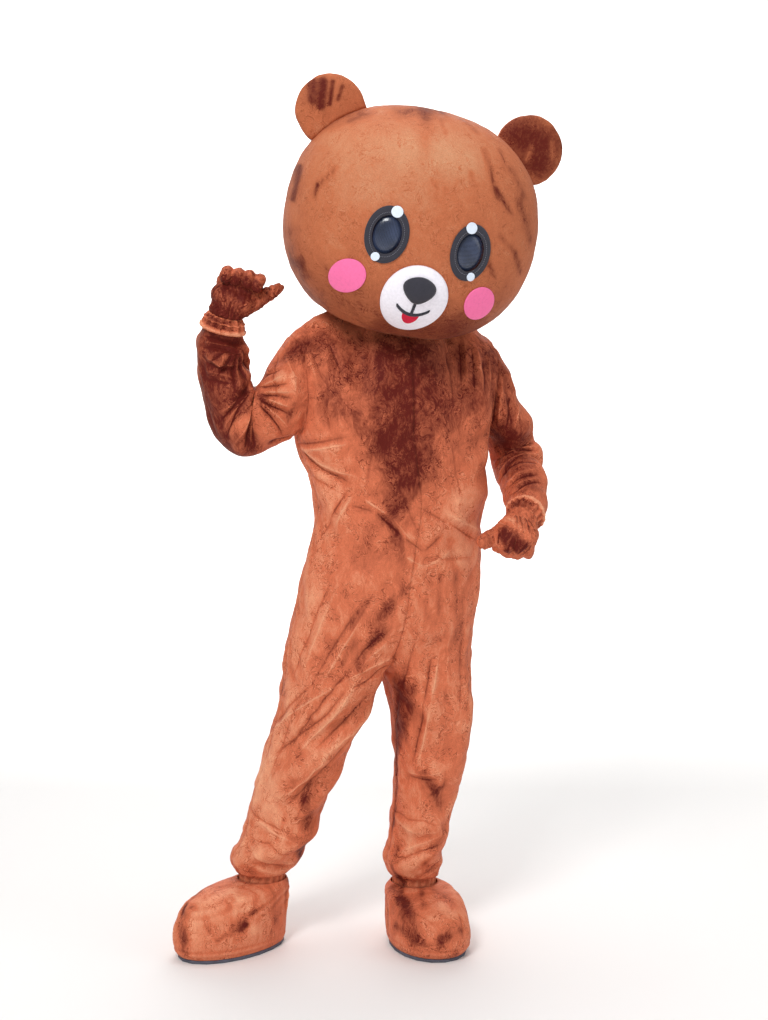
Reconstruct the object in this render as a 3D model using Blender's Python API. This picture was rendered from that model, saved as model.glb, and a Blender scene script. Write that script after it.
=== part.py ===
"""Plush bear costume in five sets of pieces: jumpsuit, head, gloves, shoe covers and back zip.

Metres, +Z up. The suit faces -Y and the origin is on the wearer's shoulder line, where the suit
hangs. Each piece of cloth is a wall of its own, and stands open wherever the wearer goes through.
Left and right are the wearer's: left is +X.
"""

import math

import bmesh
import bpy
import numpy as np
from mathutils import Euler

# Driving dimensions
SHOULDER_HEIGHT = 1.350  # from the floor to the shoulder line
CLOTH = 0.002  # velvet wall
FOAM_WALL = 0.012  # foam-backed velvet of the head
FELT = 0.0025  # flat pieces of the face
SEAM = 0.0003  # gap between two sewn pieces
FLOOR = -SHOULDER_HEIGHT

UNDERARM = -0.220  # heights below the shoulder line
CROTCH_TOP = -0.600
CROTCH = -0.735
CROTCH_X = -0.031
CROTCH_Y = 0.005

PANEL_COLUMNS = 8  # cells across one body panel
NECK_COLUMN = 3  # cells of the top edge that the neckline takes
YOKE_ROWS = 7
TORSO_ROWS = 9
CROTCH_ROWS = 6
LEG_ROWS = 14
SLEEVE_ROWS = 20
ELLIPSE_POWER = 0.93  # below 1 squares the sections a little

SIDES = {"left": 1, "right": -1}


def table(columns, *rows):
    """Rows of numbers under named columns."""
    names = columns.split()
    return {name: np.array([row[i] for row in rows], float) for i, name in enumerate(names)}


def smooth(xs, ys, at):
    """The cubic through (xs, ys), with each point's slope taken from its neighbours."""
    xs = np.asarray(xs, float)
    ys = np.asarray(ys, float)
    if xs[0] > xs[-1]:
        xs, ys = xs[::-1], ys[::-1]
    slope = np.gradient(ys, xs)
    at = np.clip(at, xs[0], xs[-1])
    i = np.clip(np.searchsorted(xs, at, side="right") - 1, 0, len(xs) - 2)
    step = xs[i + 1] - xs[i]
    t = (at - xs[i]) / step
    return (
        (1 + 2 * t) * (1 - t) ** 2 * ys[i]
        + t * (1 - t) ** 2 * step * slope[i]
        + t * t * (3 - 2 * t) * ys[i + 1]
        + t * t * (t - 1) * step * slope[i + 1]
    )


def unit(v):
    v = np.asarray(v, float)
    return v / np.linalg.norm(v, axis=-1, keepdims=True)


# Materials -----------------------------------------------------------------------------------

VELVET = dict(colour=(0.42, 0.165, 0.085), roughness=0.75, metallic=0.0)
FINISHES = {
    "brown_velvet": VELVET,
    "pink_felt": dict(colour=(0.95, 0.22, 0.42), roughness=0.9, metallic=0.0),
    "white_plush": dict(colour=(0.86, 0.84, 0.87), roughness=0.9, metallic=0.0),
    "black_felt": dict(colour=(0.035, 0.035, 0.045), roughness=0.85, metallic=0.0),
    "white_felt": dict(colour=(0.85, 0.88, 0.95), roughness=0.8, metallic=0.0),
    "red_felt": dict(colour=(0.66, 0.02, 0.05), roughness=0.85, metallic=0.0),
    "dark_lens": dict(colour=(0.06, 0.07, 0.10), roughness=0.15, metallic=0.0),
    "grey_sole": dict(colour=(0.22, 0.22, 0.26), roughness=0.85, metallic=0.0),
    "zip_tape": dict(colour=(0.20, 0.08, 0.045), roughness=0.7, metallic=0.0),
    "zip_metal": dict(colour=(0.70, 0.62, 0.42), roughness=0.3, metallic=1.0),
}


def material(name):
    found = bpy.data.materials.get(name)
    if found:
        return found
    made = bpy.data.materials.new(name)
    made.use_nodes = True
    shader = made.node_tree.nodes["Principled BSDF"]
    finish = FINISHES[name]
    shader.inputs["Base Color"].default_value = (*finish["colour"], 1.0)
    shader.inputs["Roughness"].default_value = finish["roughness"]
    shader.inputs["Metallic"].default_value = finish["metallic"]
    return made


def object_of(name, bm, finish):
    """Puts the mesh in the scene as one named, smooth-shaded piece."""
    bmesh.ops.remove_doubles(bm, verts=bm.verts, dist=1e-6)
    loose = [v for v in bm.verts if not v.link_faces]
    bmesh.ops.delete(bm, geom=loose, context="VERTS")
    bmesh.ops.triangulate(bm, faces=bm.faces, quad_method="BEAUTY")
    bmesh.ops.recalc_face_normals(bm, faces=bm.faces)
    mesh = bpy.data.meshes.new(name)
    bm.to_mesh(mesh)
    bm.free()
    mesh.shade_smooth()
    mesh.set_sharp_from_angle(angle=math.radians(50))
    mesh.materials.append(material(finish))
    made = bpy.data.objects.new(name, mesh)
    bpy.context.scene.collection.objects.link(made)
    return made


# Walls from grids of points ------------------------------------------------------------------


def grid_normals(grid, centre_out=1.0):
    """Unit normals of a grid of points, columns running left to right seen from outside."""
    across = np.gradient(grid, axis=1)
    down = np.gradient(grid, axis=0)
    normal = np.cross(down, across) * centre_out
    length = np.linalg.norm(normal, axis=-1, keepdims=True)
    return normal / np.maximum(length, 1e-12)


def share_normals(grids, normals, reach=1e-6):
    """Gives points that lie together on the edges of two pieces the mean of their normals."""
    places = {}
    for g, grid in enumerate(grids):
        rows, columns = grid.shape[:2]
        for r in range(rows):
            for c in range(columns):
                if r in (0, rows - 1) or c in (0, columns - 1):
                    key = tuple(np.round(grid[r, c] / reach / 10).astype(int))
                    places.setdefault(key, []).append((g, r, c))
    for spots in places.values():
        if len(spots) > 1:
            mean = unit(sum(normals[g][r, c] for g, r, c in spots))
            for g, r, c in spots:
                normals[g][r, c] = mean


def pulled_in(grid, by):
    """The grid with its edge points moved into the piece, each by the same distance."""
    out = grid.copy()
    for edge, inside in ((np.s_[:, 0], np.s_[:, 1]), (np.s_[:, -1], np.s_[:, -2]),
                         (np.s_[0], np.s_[1]), (np.s_[-1], np.s_[-2])):
        line = np.gradient(grid[edge], axis=0)
        step = grid[inside] - grid[edge]
        if np.ptp(grid[edge], axis=0).max() < 1e-7:
            out[edge] += unit(step.mean(0)) * by * math.sqrt(2)
            continue
        line /= np.maximum(np.linalg.norm(line, axis=-1, keepdims=True), 1e-9)
        step -= (step * line).sum(-1, keepdims=True) * line
        length = np.linalg.norm(step, axis=-1, keepdims=True)
        out[edge] += np.where(length > 1e-9, step / np.maximum(length, 1e-9) * by, 0)
    return out


def between(name, outer, inner, finish, closed=False):
    """A solid between two grids of points; closed joins the last column to the first."""
    rows, columns = outer.shape[:2]
    bm = bmesh.new()
    skins = [[[bm.verts.new(p) for p in row] for row in skin] for skin in (outer, inner)]
    wrap = columns if closed else columns - 1

    def face(*corners):
        distinct = []
        for corner in corners:
            if all((corner.co - other.co).length > 1e-7 for other in distinct):
                distinct.append(corner)
        if len(distinct) > 2:
            bm.faces.new(distinct)

    out, into = skins
    for r in range(rows - 1):
        for c in range(wrap):
            d = (c + 1) % columns
            face(out[r][c], out[r + 1][c], out[r + 1][d], out[r][d])
            face(into[r][c], into[r][d], into[r + 1][d], into[r + 1][c])
    for c in range(wrap):
        d = (c + 1) % columns
        face(out[0][c], out[0][d], into[0][d], into[0][c])
        face(out[-1][c], into[-1][c], into[-1][d], out[-1][d])
    if not closed:
        for r in range(rows - 1):
            face(out[r][0], into[r][0], into[r + 1][0], out[r + 1][0])
            face(out[r][-1], out[r + 1][-1], into[r + 1][-1], into[r][-1])
    return object_of(name, bm, finish)


def wall(name, outer, normals, finish, thickness=CLOTH, gap=SEAM / 2, closed=False):
    """A wall of cloth: the outer grid, the same grid moved inwards, and the edges between."""
    inner = outer - normals * thickness
    if not closed:
        outer = pulled_in(outer, gap)
        inner = pulled_in(inner, gap)
    return between(name, outer, inner, finish, closed)


def cutter(name, rings):
    """A closed helper solid through rings of points, capped at both ends; never shown."""
    made = between(name, rings, np.repeat(rings.mean(1, keepdims=True), rings.shape[1], 1),
                   "black_felt", closed=True)
    made.hide_render = True
    made.display_type = "WIRE"
    return made


def cut(piece, tool):
    boolean = piece.modifiers.new("cut_" + tool.name, "BOOLEAN")
    boolean.operation = "DIFFERENCE"
    boolean.solver = "EXACT"
    boolean.object = tool


# Folds ---------------------------------------------------------------------------------------


def fold_lines(folds, place):
    """Each fold's run over the cloth as a line of points, with its depth and width."""
    lines = []
    for row0, across0, row1, across1, depth, width in zip(*(folds[k] for k in folds)):
        steps = np.linspace(0, 1, 9)
        points = np.array([place(row0 + (row1 - row0) * s, across0 + (across1 - across0) * s)
                           for s in steps])
        lines.append((points, depth, width))
    return lines


def fold_height(points, lines):
    """How far the folds lift (or sink) each point: a soft ridge that dies out at its ends."""
    height = np.zeros(points.shape[:-1])
    for line, depth, width in lines:
        a, b = line[:-1], line[1:]
        span = b - a
        t = np.einsum("...kj,kj->...k", points[..., None, :] - a, span) / (span * span).sum(1)
        t = np.clip(t, 0, 1)
        away = np.linalg.norm(points[..., None, :] - (a + t[..., None] * span), axis=-1)
        nearest = away.argmin(-1)
        along = (nearest + np.take_along_axis(t, nearest[..., None], -1)[..., 0]) / len(a)
        fade = np.sqrt(np.clip(np.sin(math.pi * np.clip(along, 0.02, 0.98)), 0, 1))
        height += depth * fade * np.exp(-((away.min(-1) / width) ** 2))
    return height


# Jumpsuit ------------------------------------------------------------------------------------

TORSO = table(
    "height centre_x centre_y half_width front back",
    (UNDERARM, -0.006, 0.000, 0.219, 0.138, 0.125),
    (-0.300, 0.003, -0.004, 0.200, 0.136, 0.120),
    (-0.370, 0.010, -0.006, 0.190, 0.132, 0.118),
    (-0.450, -0.002, -0.006, 0.194, 0.134, 0.124),
    (-0.530, -0.015, -0.003, 0.200, 0.137, 0.134),
    (-0.600, -0.024, 0.000, 0.205, 0.138, 0.142),
    (-0.660, -0.034, 0.003, 0.211, 0.136, 0.142),
    (CROTCH, -0.040, 0.005, 0.212, 0.128, 0.134),
)

LEGS = {
    "right": table(
        "height centre_x centre_y half_width half_depth",
        (-0.798, -0.160, 0.012, 0.100, 0.112),
        (-0.903, -0.194, 0.033, 0.090, 0.097),
        (-1.008, -0.226, 0.061, 0.083, 0.088),
        (-1.090, -0.246, 0.080, 0.078, 0.083),
        (-1.145, -0.268, 0.092, 0.078, 0.080),
        (-1.170, -0.277, 0.099, 0.073, 0.074),
        (-1.188, -0.278, 0.101, 0.057, 0.060),
    ),
    "left": table(
        "height centre_x centre_y half_width half_depth",
        (-0.798, 0.080, -0.004, 0.090, 0.108),
        (-0.903, 0.084, 0.001, 0.080, 0.092),
        (-1.008, 0.080, 0.014, 0.071, 0.082),
        (-1.090, 0.068, 0.028, 0.063, 0.074),
        (-1.160, 0.060, 0.038, 0.063, 0.070),
        (-1.190, 0.059, 0.041, 0.065, 0.068),
        (-1.212, 0.062, 0.041, 0.054, 0.058),
    ),
}

NECK = dict(half_width=0.090, point_z=0.060, point_y=0.004)
NECK_DROP = {"front": (-0.080, 0.012), "back": (0.072, 0.042)}  # y and z of the middle of the neckline
SHOULDER_TIP = {"left": (0.226, 0.0, -0.014), "right": (-0.238, 0.0, -0.002)}
SHOULDER_CROWN = 0.018  # rise of the shoulder seam over a straight line
ARMHOLE_INSET = 0.010
ARMHOLE_BULGE = {"front": 0.104, "back": 0.098}
# The yoke's curve from the top edge to the underarm line: how far it stands forward at the centre,
# how far it drops off the top edge and how far it comes up from the underarm line.
YOKE = dict(centre_reach=0.050, drop=0.012, centre_drop=0.030, rise=0.090, side_fall=0.060)
LEG_DEPTH = 0.94  # of the torso's depth, where a leg leaves the crotch


def torso_at(height, name):
    return float(smooth(TORSO["height"], TORSO[name], height))


def torso_point(side, face, share, height):
    """A point of the torso's section: share 0 at the centre line, 1 at the side."""
    angle = share * math.pi / 2
    depth = torso_at(height, face) * (-1 if face == "front" else 1)
    x = torso_at(height, "centre_x") + SIDES[side] * torso_at(height, "half_width") * (
        math.sin(angle) ** ELLIPSE_POWER
    )
    y = torso_at(height, "centre_y") + depth * math.cos(angle) ** ELLIPSE_POWER
    return np.array([x, y, height])


def leg_point(face, share, height, inner_x, outer_x, centre_y, half_depth):
    """A point of a leg's section: share 0 at the inseam, 1 at the side seam."""
    angle = share * math.pi
    middle = (inner_x + outer_x) / 2
    x = middle - (outer_x - inner_x) / 2 * math.cos(angle)
    y = centre_y + (-1 if face == "front" else 1) * half_depth * math.sin(angle) ** ELLIPSE_POWER
    return np.array([x, y, height])


def neck_point(side, face, share):
    """The neckline from the centre line (0) to the neck point (1)."""
    angle = share * math.pi / 2
    y, z = NECK_DROP[face]
    x = TORSO["centre_x"][0] + SIDES[side] * NECK["half_width"] * math.sin(angle)
    return np.array([x, NECK["point_y"] + (y - NECK["point_y"]) * math.cos(angle),
                     z + (NECK["point_z"] - z) * math.sin(angle) ** 1.6])


def top_edge(side, face, column):
    """The panel's top edge: the neckline, then the shoulder seam out to the tip."""
    if column <= NECK_COLUMN:
        return neck_point(side, face, column / NECK_COLUMN)
    share = (column - NECK_COLUMN) / (PANEL_COLUMNS - NECK_COLUMN)
    start, end = neck_point(side, face, 1), np.array(SHOULDER_TIP[side])
    return start + (end - start) * share + np.array([0, 0, SHOULDER_CROWN * math.sin(math.pi * share)])


def yoke_point(side, face, column, share):
    """Between the top edge (0) and the underarm line (1), rounded over the shoulder."""
    forward = -1 if face == "front" else 1
    across = column / PANEL_COLUMNS
    top = top_edge(side, face, column)
    foot = torso_point(side, face, across, UNDERARM)
    side_share = math.sin(across * math.pi / 2) ** 2
    bulge = ARMHOLE_BULGE[face]
    reach = YOKE["centre_reach"] + (bulge - YOKE["centre_reach"]) * side_share
    fall = YOKE["drop"] + YOKE["centre_drop"] * (1 - side_share)
    rise = YOKE["rise"] - YOKE["side_fall"] * side_share
    first = top + np.array([0, forward * reach, -fall])
    last = foot + np.array([0, forward * bulge * side_share, rise])
    inset = SIDES[side] * ARMHOLE_INSET * side_share
    first[0] -= inset
    last[0] -= inset
    a, b = 1 - share, share
    return a**3 * top + 3 * a * a * b * first + 3 * a * b * b * last + b**3 * foot


def row_heights():
    yoke = [("yoke", i / YOKE_ROWS) for i in range(YOKE_ROWS)]
    torso = [("torso", UNDERARM + (CROTCH_TOP - UNDERARM) * i / TORSO_ROWS) for i in range(TORSO_ROWS)]
    crotch = [("crotch", i / CROTCH_ROWS) for i in range(CROTCH_ROWS)]
    leg = [("leg", i / LEG_ROWS) for i in range(LEG_ROWS + 1)]
    return yoke + torso + crotch + leg


def body_point(side, face, column, zone, at):
    across = column / PANEL_COLUMNS
    if zone == "yoke":
        return yoke_point(side, face, column, at)
    if zone == "torso":
        return torso_point(side, face, across, at)
    if zone == "crotch":
        turn = at * math.pi / 2
        height = CROTCH_TOP + (CROTCH - CROTCH_TOP) * math.sin(turn)
        split = 1 - math.cos(turn)
        torso = torso_point(side, face, across, height)
        outer = torso_point(side, face, 1, height)[0]
        depth = torso_at(height, face)
        leg = leg_point(face, across, height, CROTCH_X, outer, CROTCH_Y, depth * LEG_DEPTH)
        return torso + (leg - torso) * split
    legs = LEGS[side]
    outer = torso_point(side, face, 1, CROTCH)[0]
    depth = torso_at(CROTCH, face) * LEG_DEPTH
    heights = np.concatenate([[CROTCH], legs["height"]])
    height = CROTCH + (heights[-1] - CROTCH) * at
    inner_x = legs["centre_x"] - SIDES[side] * legs["half_width"]
    outer_x = legs["centre_x"] + SIDES[side] * legs["half_width"]

    def along(first, rest):
        return float(smooth(heights, np.concatenate([[first], rest]), height))

    return leg_point(face, across, height, along(CROTCH_X, inner_x), along(outer, outer_x),
                     along(CROTCH_Y, legs["centre_y"]), along(depth, legs["half_depth"]))


def body_grids():
    """The four body panels as grids, each with its columns from the centre to the side."""
    return {
        (face, side): np.array([[body_point(side, face, c, zone, at) for c in range(PANEL_COLUMNS + 1)]
                                for zone, at in row_heights()])
        for face in ("front", "back")
        for side in SIDES
    }


# Sleeves -------------------------------------------------------------------------------------

# Stations of each sleeve: the point of the section on the underarm seam, the point across from it
# and the section's half size square to that line.
SLEEVES = {
    "right": table(
        "along under_x under_y under_z over_x over_y over_z square",
        (0.10, -0.254, 0.002, -0.227, -0.262, 0.003, -0.030, 0.080),
        (0.22, -0.285, 0.004, -0.240, -0.280, 0.006, -0.058, 0.082),
        (0.34, -0.322, 0.012, -0.256, -0.300, 0.012, -0.092, 0.079),
        (0.44, -0.362, 0.018, -0.250, -0.314, 0.016, -0.109, 0.076),
        (0.54, -0.402, 0.018, -0.207, -0.324, 0.014, -0.103, 0.071),
        (0.63, -0.423, 0.012, -0.138, -0.331, 0.008, -0.082, 0.064),
        (0.73, -0.438, 0.003, -0.074, -0.331, 0.001, -0.050, 0.058),
        (0.84, -0.446, -0.010, -0.022, -0.341, -0.012, -0.012, 0.054),
        (0.93, -0.435, -0.021, 0.007, -0.352, -0.022, 0.000, 0.041),
        (1.00, -0.430, -0.028, 0.023, -0.355, -0.028, 0.012, 0.037),
    ),
    "left": table(
        "along under_x under_y under_z over_x over_y over_z square",
        (0.10, 0.230, 0.002, -0.223, 0.244, 0.002, -0.052, 0.076),
        (0.22, 0.235, 0.006, -0.235, 0.266, 0.006, -0.098, 0.074),
        (0.34, 0.240, 0.014, -0.250, 0.300, 0.018, -0.150, 0.066),
        (0.45, 0.245, 0.020, -0.268, 0.335, 0.029, -0.202, 0.061),
        (0.55, 0.242, 0.014, -0.288, 0.352, 0.024, -0.247, 0.060),
        (0.64, 0.239, -0.014, -0.306, 0.348, -0.010, -0.284, 0.058),
        (0.73, 0.235, -0.050, -0.322, 0.337, -0.048, -0.314, 0.055),
        (0.83, 0.229, -0.092, -0.338, 0.322, -0.092, -0.354, 0.051),
        (0.93, 0.223, -0.130, -0.354, 0.302, -0.130, -0.388, 0.042),
        (1.00, 0.213, -0.152, -0.370, 0.279, -0.152, -0.404, 0.0365),
    ),
}
ARMHOLE_BLEND = 0.30  # share of the sleeve over which the armhole's shape rounds out
SLOPE_STEP = 0.02  # share of the sleeve to each side that gives its direction


def armhole(side, grids):
    """The armhole's loop of points, from the underarm round the front, over the tip and back."""
    front = grids["front", side][: YOKE_ROWS + 1, -1][::-1]
    back = grids["back", side][: YOKE_ROWS + 1, -1]
    return np.concatenate([front, back[1:]])


def sleeve_grid(side, grids):
    """The sleeve from the armhole (row 0) to the wrist, its first and last column at the seam."""
    loop = armhole(side, grids)
    stations = SLEEVES[side]
    tip = loop[len(loop) // 2]
    along = np.concatenate([[0], stations["along"]])

    def track(first, *names):
        points = np.column_stack([stations[n] for n in names])
        return np.vstack([np.reshape(first, (1, -1)), points])

    under = track(loop[0], "under_x", "under_y", "under_z")
    over = track(tip, "over_x", "over_y", "over_z")
    square = track([np.ptp(loop[:, 1]) / 2], "square")
    turns = np.linspace(0, 2 * math.pi, len(loop))
    circle = np.column_stack([np.cos(turns), np.sin(turns), np.zeros(len(turns))])

    def frame(at):
        low, high, half = (np.array([float(smooth(along, t[:, i], at)) for i in range(t.shape[1])])
                           for t in (under, over, square))
        return (low + high) / 2, (low - high) / 2, float(half[0])

    def front_of(at, seam):
        ahead = frame(min(at + SLOPE_STEP, 1))[0] - frame(max(at - SLOPE_STEP, 0))[0]
        front = unit(np.cross(ahead, seam))
        return front * (1 if side == "right" else -1)

    centre, seam, half = frame(0)
    front = np.array([0.0, -1.0, 0.0])
    rest = loop - centre
    outward_axis = unit(np.cross(front, seam))
    first = np.column_stack([rest @ seam / (seam @ seam), rest @ front / half, rest @ outward_axis])
    rows = [loop]
    for i in range(1, SLEEVE_ROWS + 1):
        at = i / SLEEVE_ROWS
        centre, seam, half = frame(at)
        turn = min(1.0, at / ARMHOLE_BLEND)
        front = unit(np.array([0.0, -1.0, 0.0]) * (1 - turn) + front_of(at, seam) * turn)
        outward_axis = unit(np.cross(front, seam))
        blend = min(1.0, at / ARMHOLE_BLEND)
        section = first + (circle - first) * (blend * blend * (3 - 2 * blend))
        rows.append(centre + section[:, :1] * seam + section[:, 1:2] * front * half
                    + section[:, 2:] * outward_axis)
    return np.array(rows)


# Folds of the suit: a run over the cloth from one place to another. On the body a place is a
# height and a share round the half body (0 centre front, 1 side, 2 centre back); on a sleeve it
# is a share of the length and of the way round from the underarm. Depth is out of the cloth.
BODY_FOLDS = {
    "right": table(
        "height0 across0 height1 across1 depth width",
        (-0.205, 0.80, -0.215, 0.20, 0.010, 0.022),
        (-0.235, 0.85, -0.300, 0.28, 0.012, 0.022),
        (-0.260, 0.80, -0.330, 0.42, -0.009, 0.020),
        (-0.090, 0.75, -0.200, 0.70, -0.010, 0.022),
        (-0.350, 0.85, -0.410, 0.45, 0.010, 0.022),
        (-0.420, 0.80, -0.500, 0.15, -0.009, 0.024),
        (-0.480, 0.95, -0.620, 0.60, 0.010, 0.028),
        (-0.690, 0.10, -0.640, 0.55, -0.010, 0.022),
        (-0.700, 0.30, -0.850, 0.80, 0.013, 0.026),
        (-0.760, 0.25, -0.930, 0.80, -0.011, 0.026),
        (-0.820, 0.20, -0.980, 0.85, 0.014, 0.026),
        (-0.930, 0.10, -1.060, 0.62, 0.011, 0.024),
        (-0.980, 0.50, -1.120, 0.90, -0.010, 0.024),
        (-1.080, 0.05, -1.140, 0.80, 0.012, 0.022),
        (-1.120, 0.10, -1.165, 0.85, -0.010, 0.018),
        (-0.240, 1.20, -0.330, 1.75, 0.011, 0.024),
        (-0.360, 1.15, -0.400, 1.85, 0.010, 0.024),
        (-0.470, 1.25, -0.560, 1.80, -0.010, 0.026),
        (-0.640, 1.85, -0.740, 1.40, -0.013, 0.026),
        (-0.770, 1.60, -0.900, 1.20, 0.012, 0.026),
        (-0.880, 1.70, -1.000, 1.20, -0.011, 0.026),
        (-1.010, 1.80, -1.080, 1.30, 0.012, 0.024),
        (-1.100, 1.85, -1.150, 1.20, -0.010, 0.020),
    ),
    "left": table(
        "height0 across0 height1 across1 depth width",
        (-0.060, 0.62, -0.190, 0.70, 0.008, 0.020),
        (-0.080, 0.82, -0.230, 0.86, -0.010, 0.022),
        (-0.210, 0.80, -0.300, 0.45, 0.009, 0.022),
        (-0.330, 0.85, -0.360, 0.25, 0.009, 0.022),
        (-0.380, 0.90, -0.440, 0.20, -0.009, 0.024),
        (-0.460, 0.90, -0.620, 0.70, 0.009, 0.028),
        (-0.680, 0.12, -0.650, 0.60, -0.010, 0.022),
        (-0.700, 0.22, -0.830, 0.42, 0.012, 0.024),
        (-0.720, 0.50, -0.930, 0.50, -0.009, 0.024),
        (-0.760, 0.75, -0.980, 0.70, 0.010, 0.026),
        (-0.930, 0.15, -0.960, 0.70, 0.011, 0.022),
        (-0.985, 0.20, -1.010, 0.75, -0.009, 0.020),
        (-1.060, 0.15, -1.110, 0.80, 0.011, 0.022),
        (-1.110, 0.80, -1.185, 0.20, 0.013, 0.020),
        (-0.200, 1.20, -0.280, 1.70, 0.010, 0.024),
        (-0.350, 1.15, -0.410, 1.80, 0.010, 0.024),
        (-0.480, 1.20, -0.540, 1.80, -0.010, 0.026),
        (-0.640, 1.85, -0.730, 1.40, -0.013, 0.026),
        (-0.780, 1.65, -0.900, 1.25, 0.012, 0.026),
        (-0.960, 1.80, -1.010, 1.30, -0.011, 0.024),
        (-1.070, 1.80, -1.120, 1.25, 0.012, 0.022),
    ),
}
SLEEVE_FOLDS = {
    "right": table(
        "along0 round0 along1 round1 depth width",
        (0.06, 0.20, 0.22, 0.42, 0.012, 0.018),
        (0.12, 0.12, 0.34, 0.38, -0.010, 0.016),
        (0.20, 0.10, 0.46, 0.40, 0.013, 0.018),
        (0.34, 0.08, 0.52, 0.42, -0.011, 0.016),
        (0.40, 0.04, 0.60, 0.40, 0.012, 0.018),
        (0.62, 0.08, 0.66, 0.44, 0.009, 0.014),
        (0.72, 0.04, 0.75, 0.48, -0.008, 0.012),
        (0.80, 0.06, 0.78, 0.46, 0.009, 0.012),
        (0.88, 0.08, 0.89, 0.46, -0.007, 0.011),
        (0.10, 0.85, 0.30, 0.60, 0.011, 0.018),
        (0.28, 0.88, 0.46, 0.60, -0.010, 0.018),
        (0.42, 0.92, 0.58, 0.60, 0.011, 0.018),
        (0.70, 0.92, 0.73, 0.56, 0.009, 0.014),
        (0.84, 0.92, 0.84, 0.56, 0.008, 0.012),
    ),
    "left": table(
        "along0 round0 along1 round1 depth width",
        (0.06, 0.30, 0.24, 0.62, 0.010, 0.018),
        (0.18, 0.16, 0.34, 0.60, -0.009, 0.016),
        (0.30, 0.14, 0.44, 0.60, 0.011, 0.016),
        (0.44, 0.12, 0.54, 0.56, -0.009, 0.014),
        (0.54, 0.12, 0.62, 0.56, 0.011, 0.014),
        (0.66, 0.12, 0.70, 0.56, -0.008, 0.012),
        (0.76, 0.12, 0.78, 0.56, 0.010, 0.012),
        (0.86, 0.12, 0.87, 0.56, -0.007, 0.011),
        (0.16, 0.92, 0.30, 0.66, 0.010, 0.018),
        (0.36, 0.92, 0.50, 0.66, -0.010, 0.016),
        (0.60, 0.94, 0.66, 0.66, 0.010, 0.014),
        (0.80, 0.94, 0.82, 0.66, 0.009, 0.012),
    ),
}


def nominal_height(zone, at):
    if zone == "yoke":
        return UNDERARM * at
    if zone == "torso":
        return at
    if zone == "crotch":
        return CROTCH_TOP + (CROTCH - CROTCH_TOP) * math.sin(at * math.pi / 2)
    return None


def cell_at(grid, row, column):
    """The point of the grid at a fractional row and column."""
    rows, columns = grid.shape[:2]
    r = min(int(row), rows - 2)
    c = min(int(column), columns - 2)
    u, v = row - r, column - c
    top = grid[r, c] * (1 - v) + grid[r, c + 1] * v
    low = grid[r + 1, c] * (1 - v) + grid[r + 1, c + 1] * v
    return top * (1 - u) + low * u


def suit_grids():
    """Every panel of the suit with its folds pressed in, and the normals that seams share."""
    grids = body_grids()
    for side in SIDES:
        grids["sleeve", side] = sleeve_grid(side, grids)
    lines = []
    for side in SIDES:
        seam_heights = []
        for i, (zone, at) in enumerate(row_heights()):
            known = nominal_height(zone, at)
            seam_heights.append(grids["front", side][i, -1, 2] if known is None else known)
        seam_heights = np.array(seam_heights)

        def on_body(height, across, side=side, seam_heights=seam_heights):
            row = float(np.interp(-height, -seam_heights, np.arange(len(seam_heights))))
            face = "front" if across <= 1 else "back"
            share = across if across <= 1 else 2 - across
            return cell_at(grids[face, side], row, share * PANEL_COLUMNS)

        def on_sleeve(along, round_, side=side):
            sleeve = grids["sleeve", side]
            return cell_at(sleeve, along * SLEEVE_ROWS, round_ * (sleeve.shape[1] - 1))

        lines += fold_lines(BODY_FOLDS[side], on_body)
        lines += fold_lines(SLEEVE_FOLDS[side], on_sleeve)
    names = list(grids)
    for _ in range(2):
        normals = {n: grid_normals(grids[n], outward(n)) for n in names}
        share_normals([grids[n] for n in names], [normals[n] for n in names])
        if lines:
            heights = {n: fold_height(grids[n], lines) for n in names}
            grids = {n: grids[n] + normals[n] * heights[n][..., None] for n in names}
            lines = []
    return grids, normals


def outward(name):
    """The sign that points a panel's grid normals out of the suit."""
    face, side = name
    return SIDES[side] * (-1 if face == "back" else 1)


def build_suit():
    grids, normals = suit_grids()
    for (face, side), grid in grids.items():
        name = f"sleeve_{side}" if face == "sleeve" else f"suit_{face}_{side}"
        sign = outward((face, side))
        ordered = grid if sign > 0 else grid[:, ::-1]
        aimed = normals[face, side] if sign > 0 else normals[face, side][:, ::-1]
        wall(name, ordered, aimed, "brown_velvet")
    return grids, normals


# Head ----------------------------------------------------------------------------------------
# Laid out about its own middle: u to the left, v up, the face towards -Y; then turned and lifted.

HEAD_CENTRE = np.array([-0.003, -0.100, 0.2300])
HEAD_HALF = np.array([0.267, 0.250, 0.241])
HEAD_POWER = 2.25
HEAD_TURN = np.array(Euler((math.radians(6), math.radians(11), math.radians(-8.8)), "XYZ").to_matrix())
HEAD_ROWS = 13
GORE_COLUMNS = {"front": 10, "back": 8}
OPENING_AT = np.array([-0.006, 0.000, 0.000])  # the head opens towards this point of the neck
OPENING_HALF = {"front": math.radians(32), "side": math.radians(39.12)}
LOWER_FROM = math.radians(60)  # below this the gores lean back towards the opening

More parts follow.
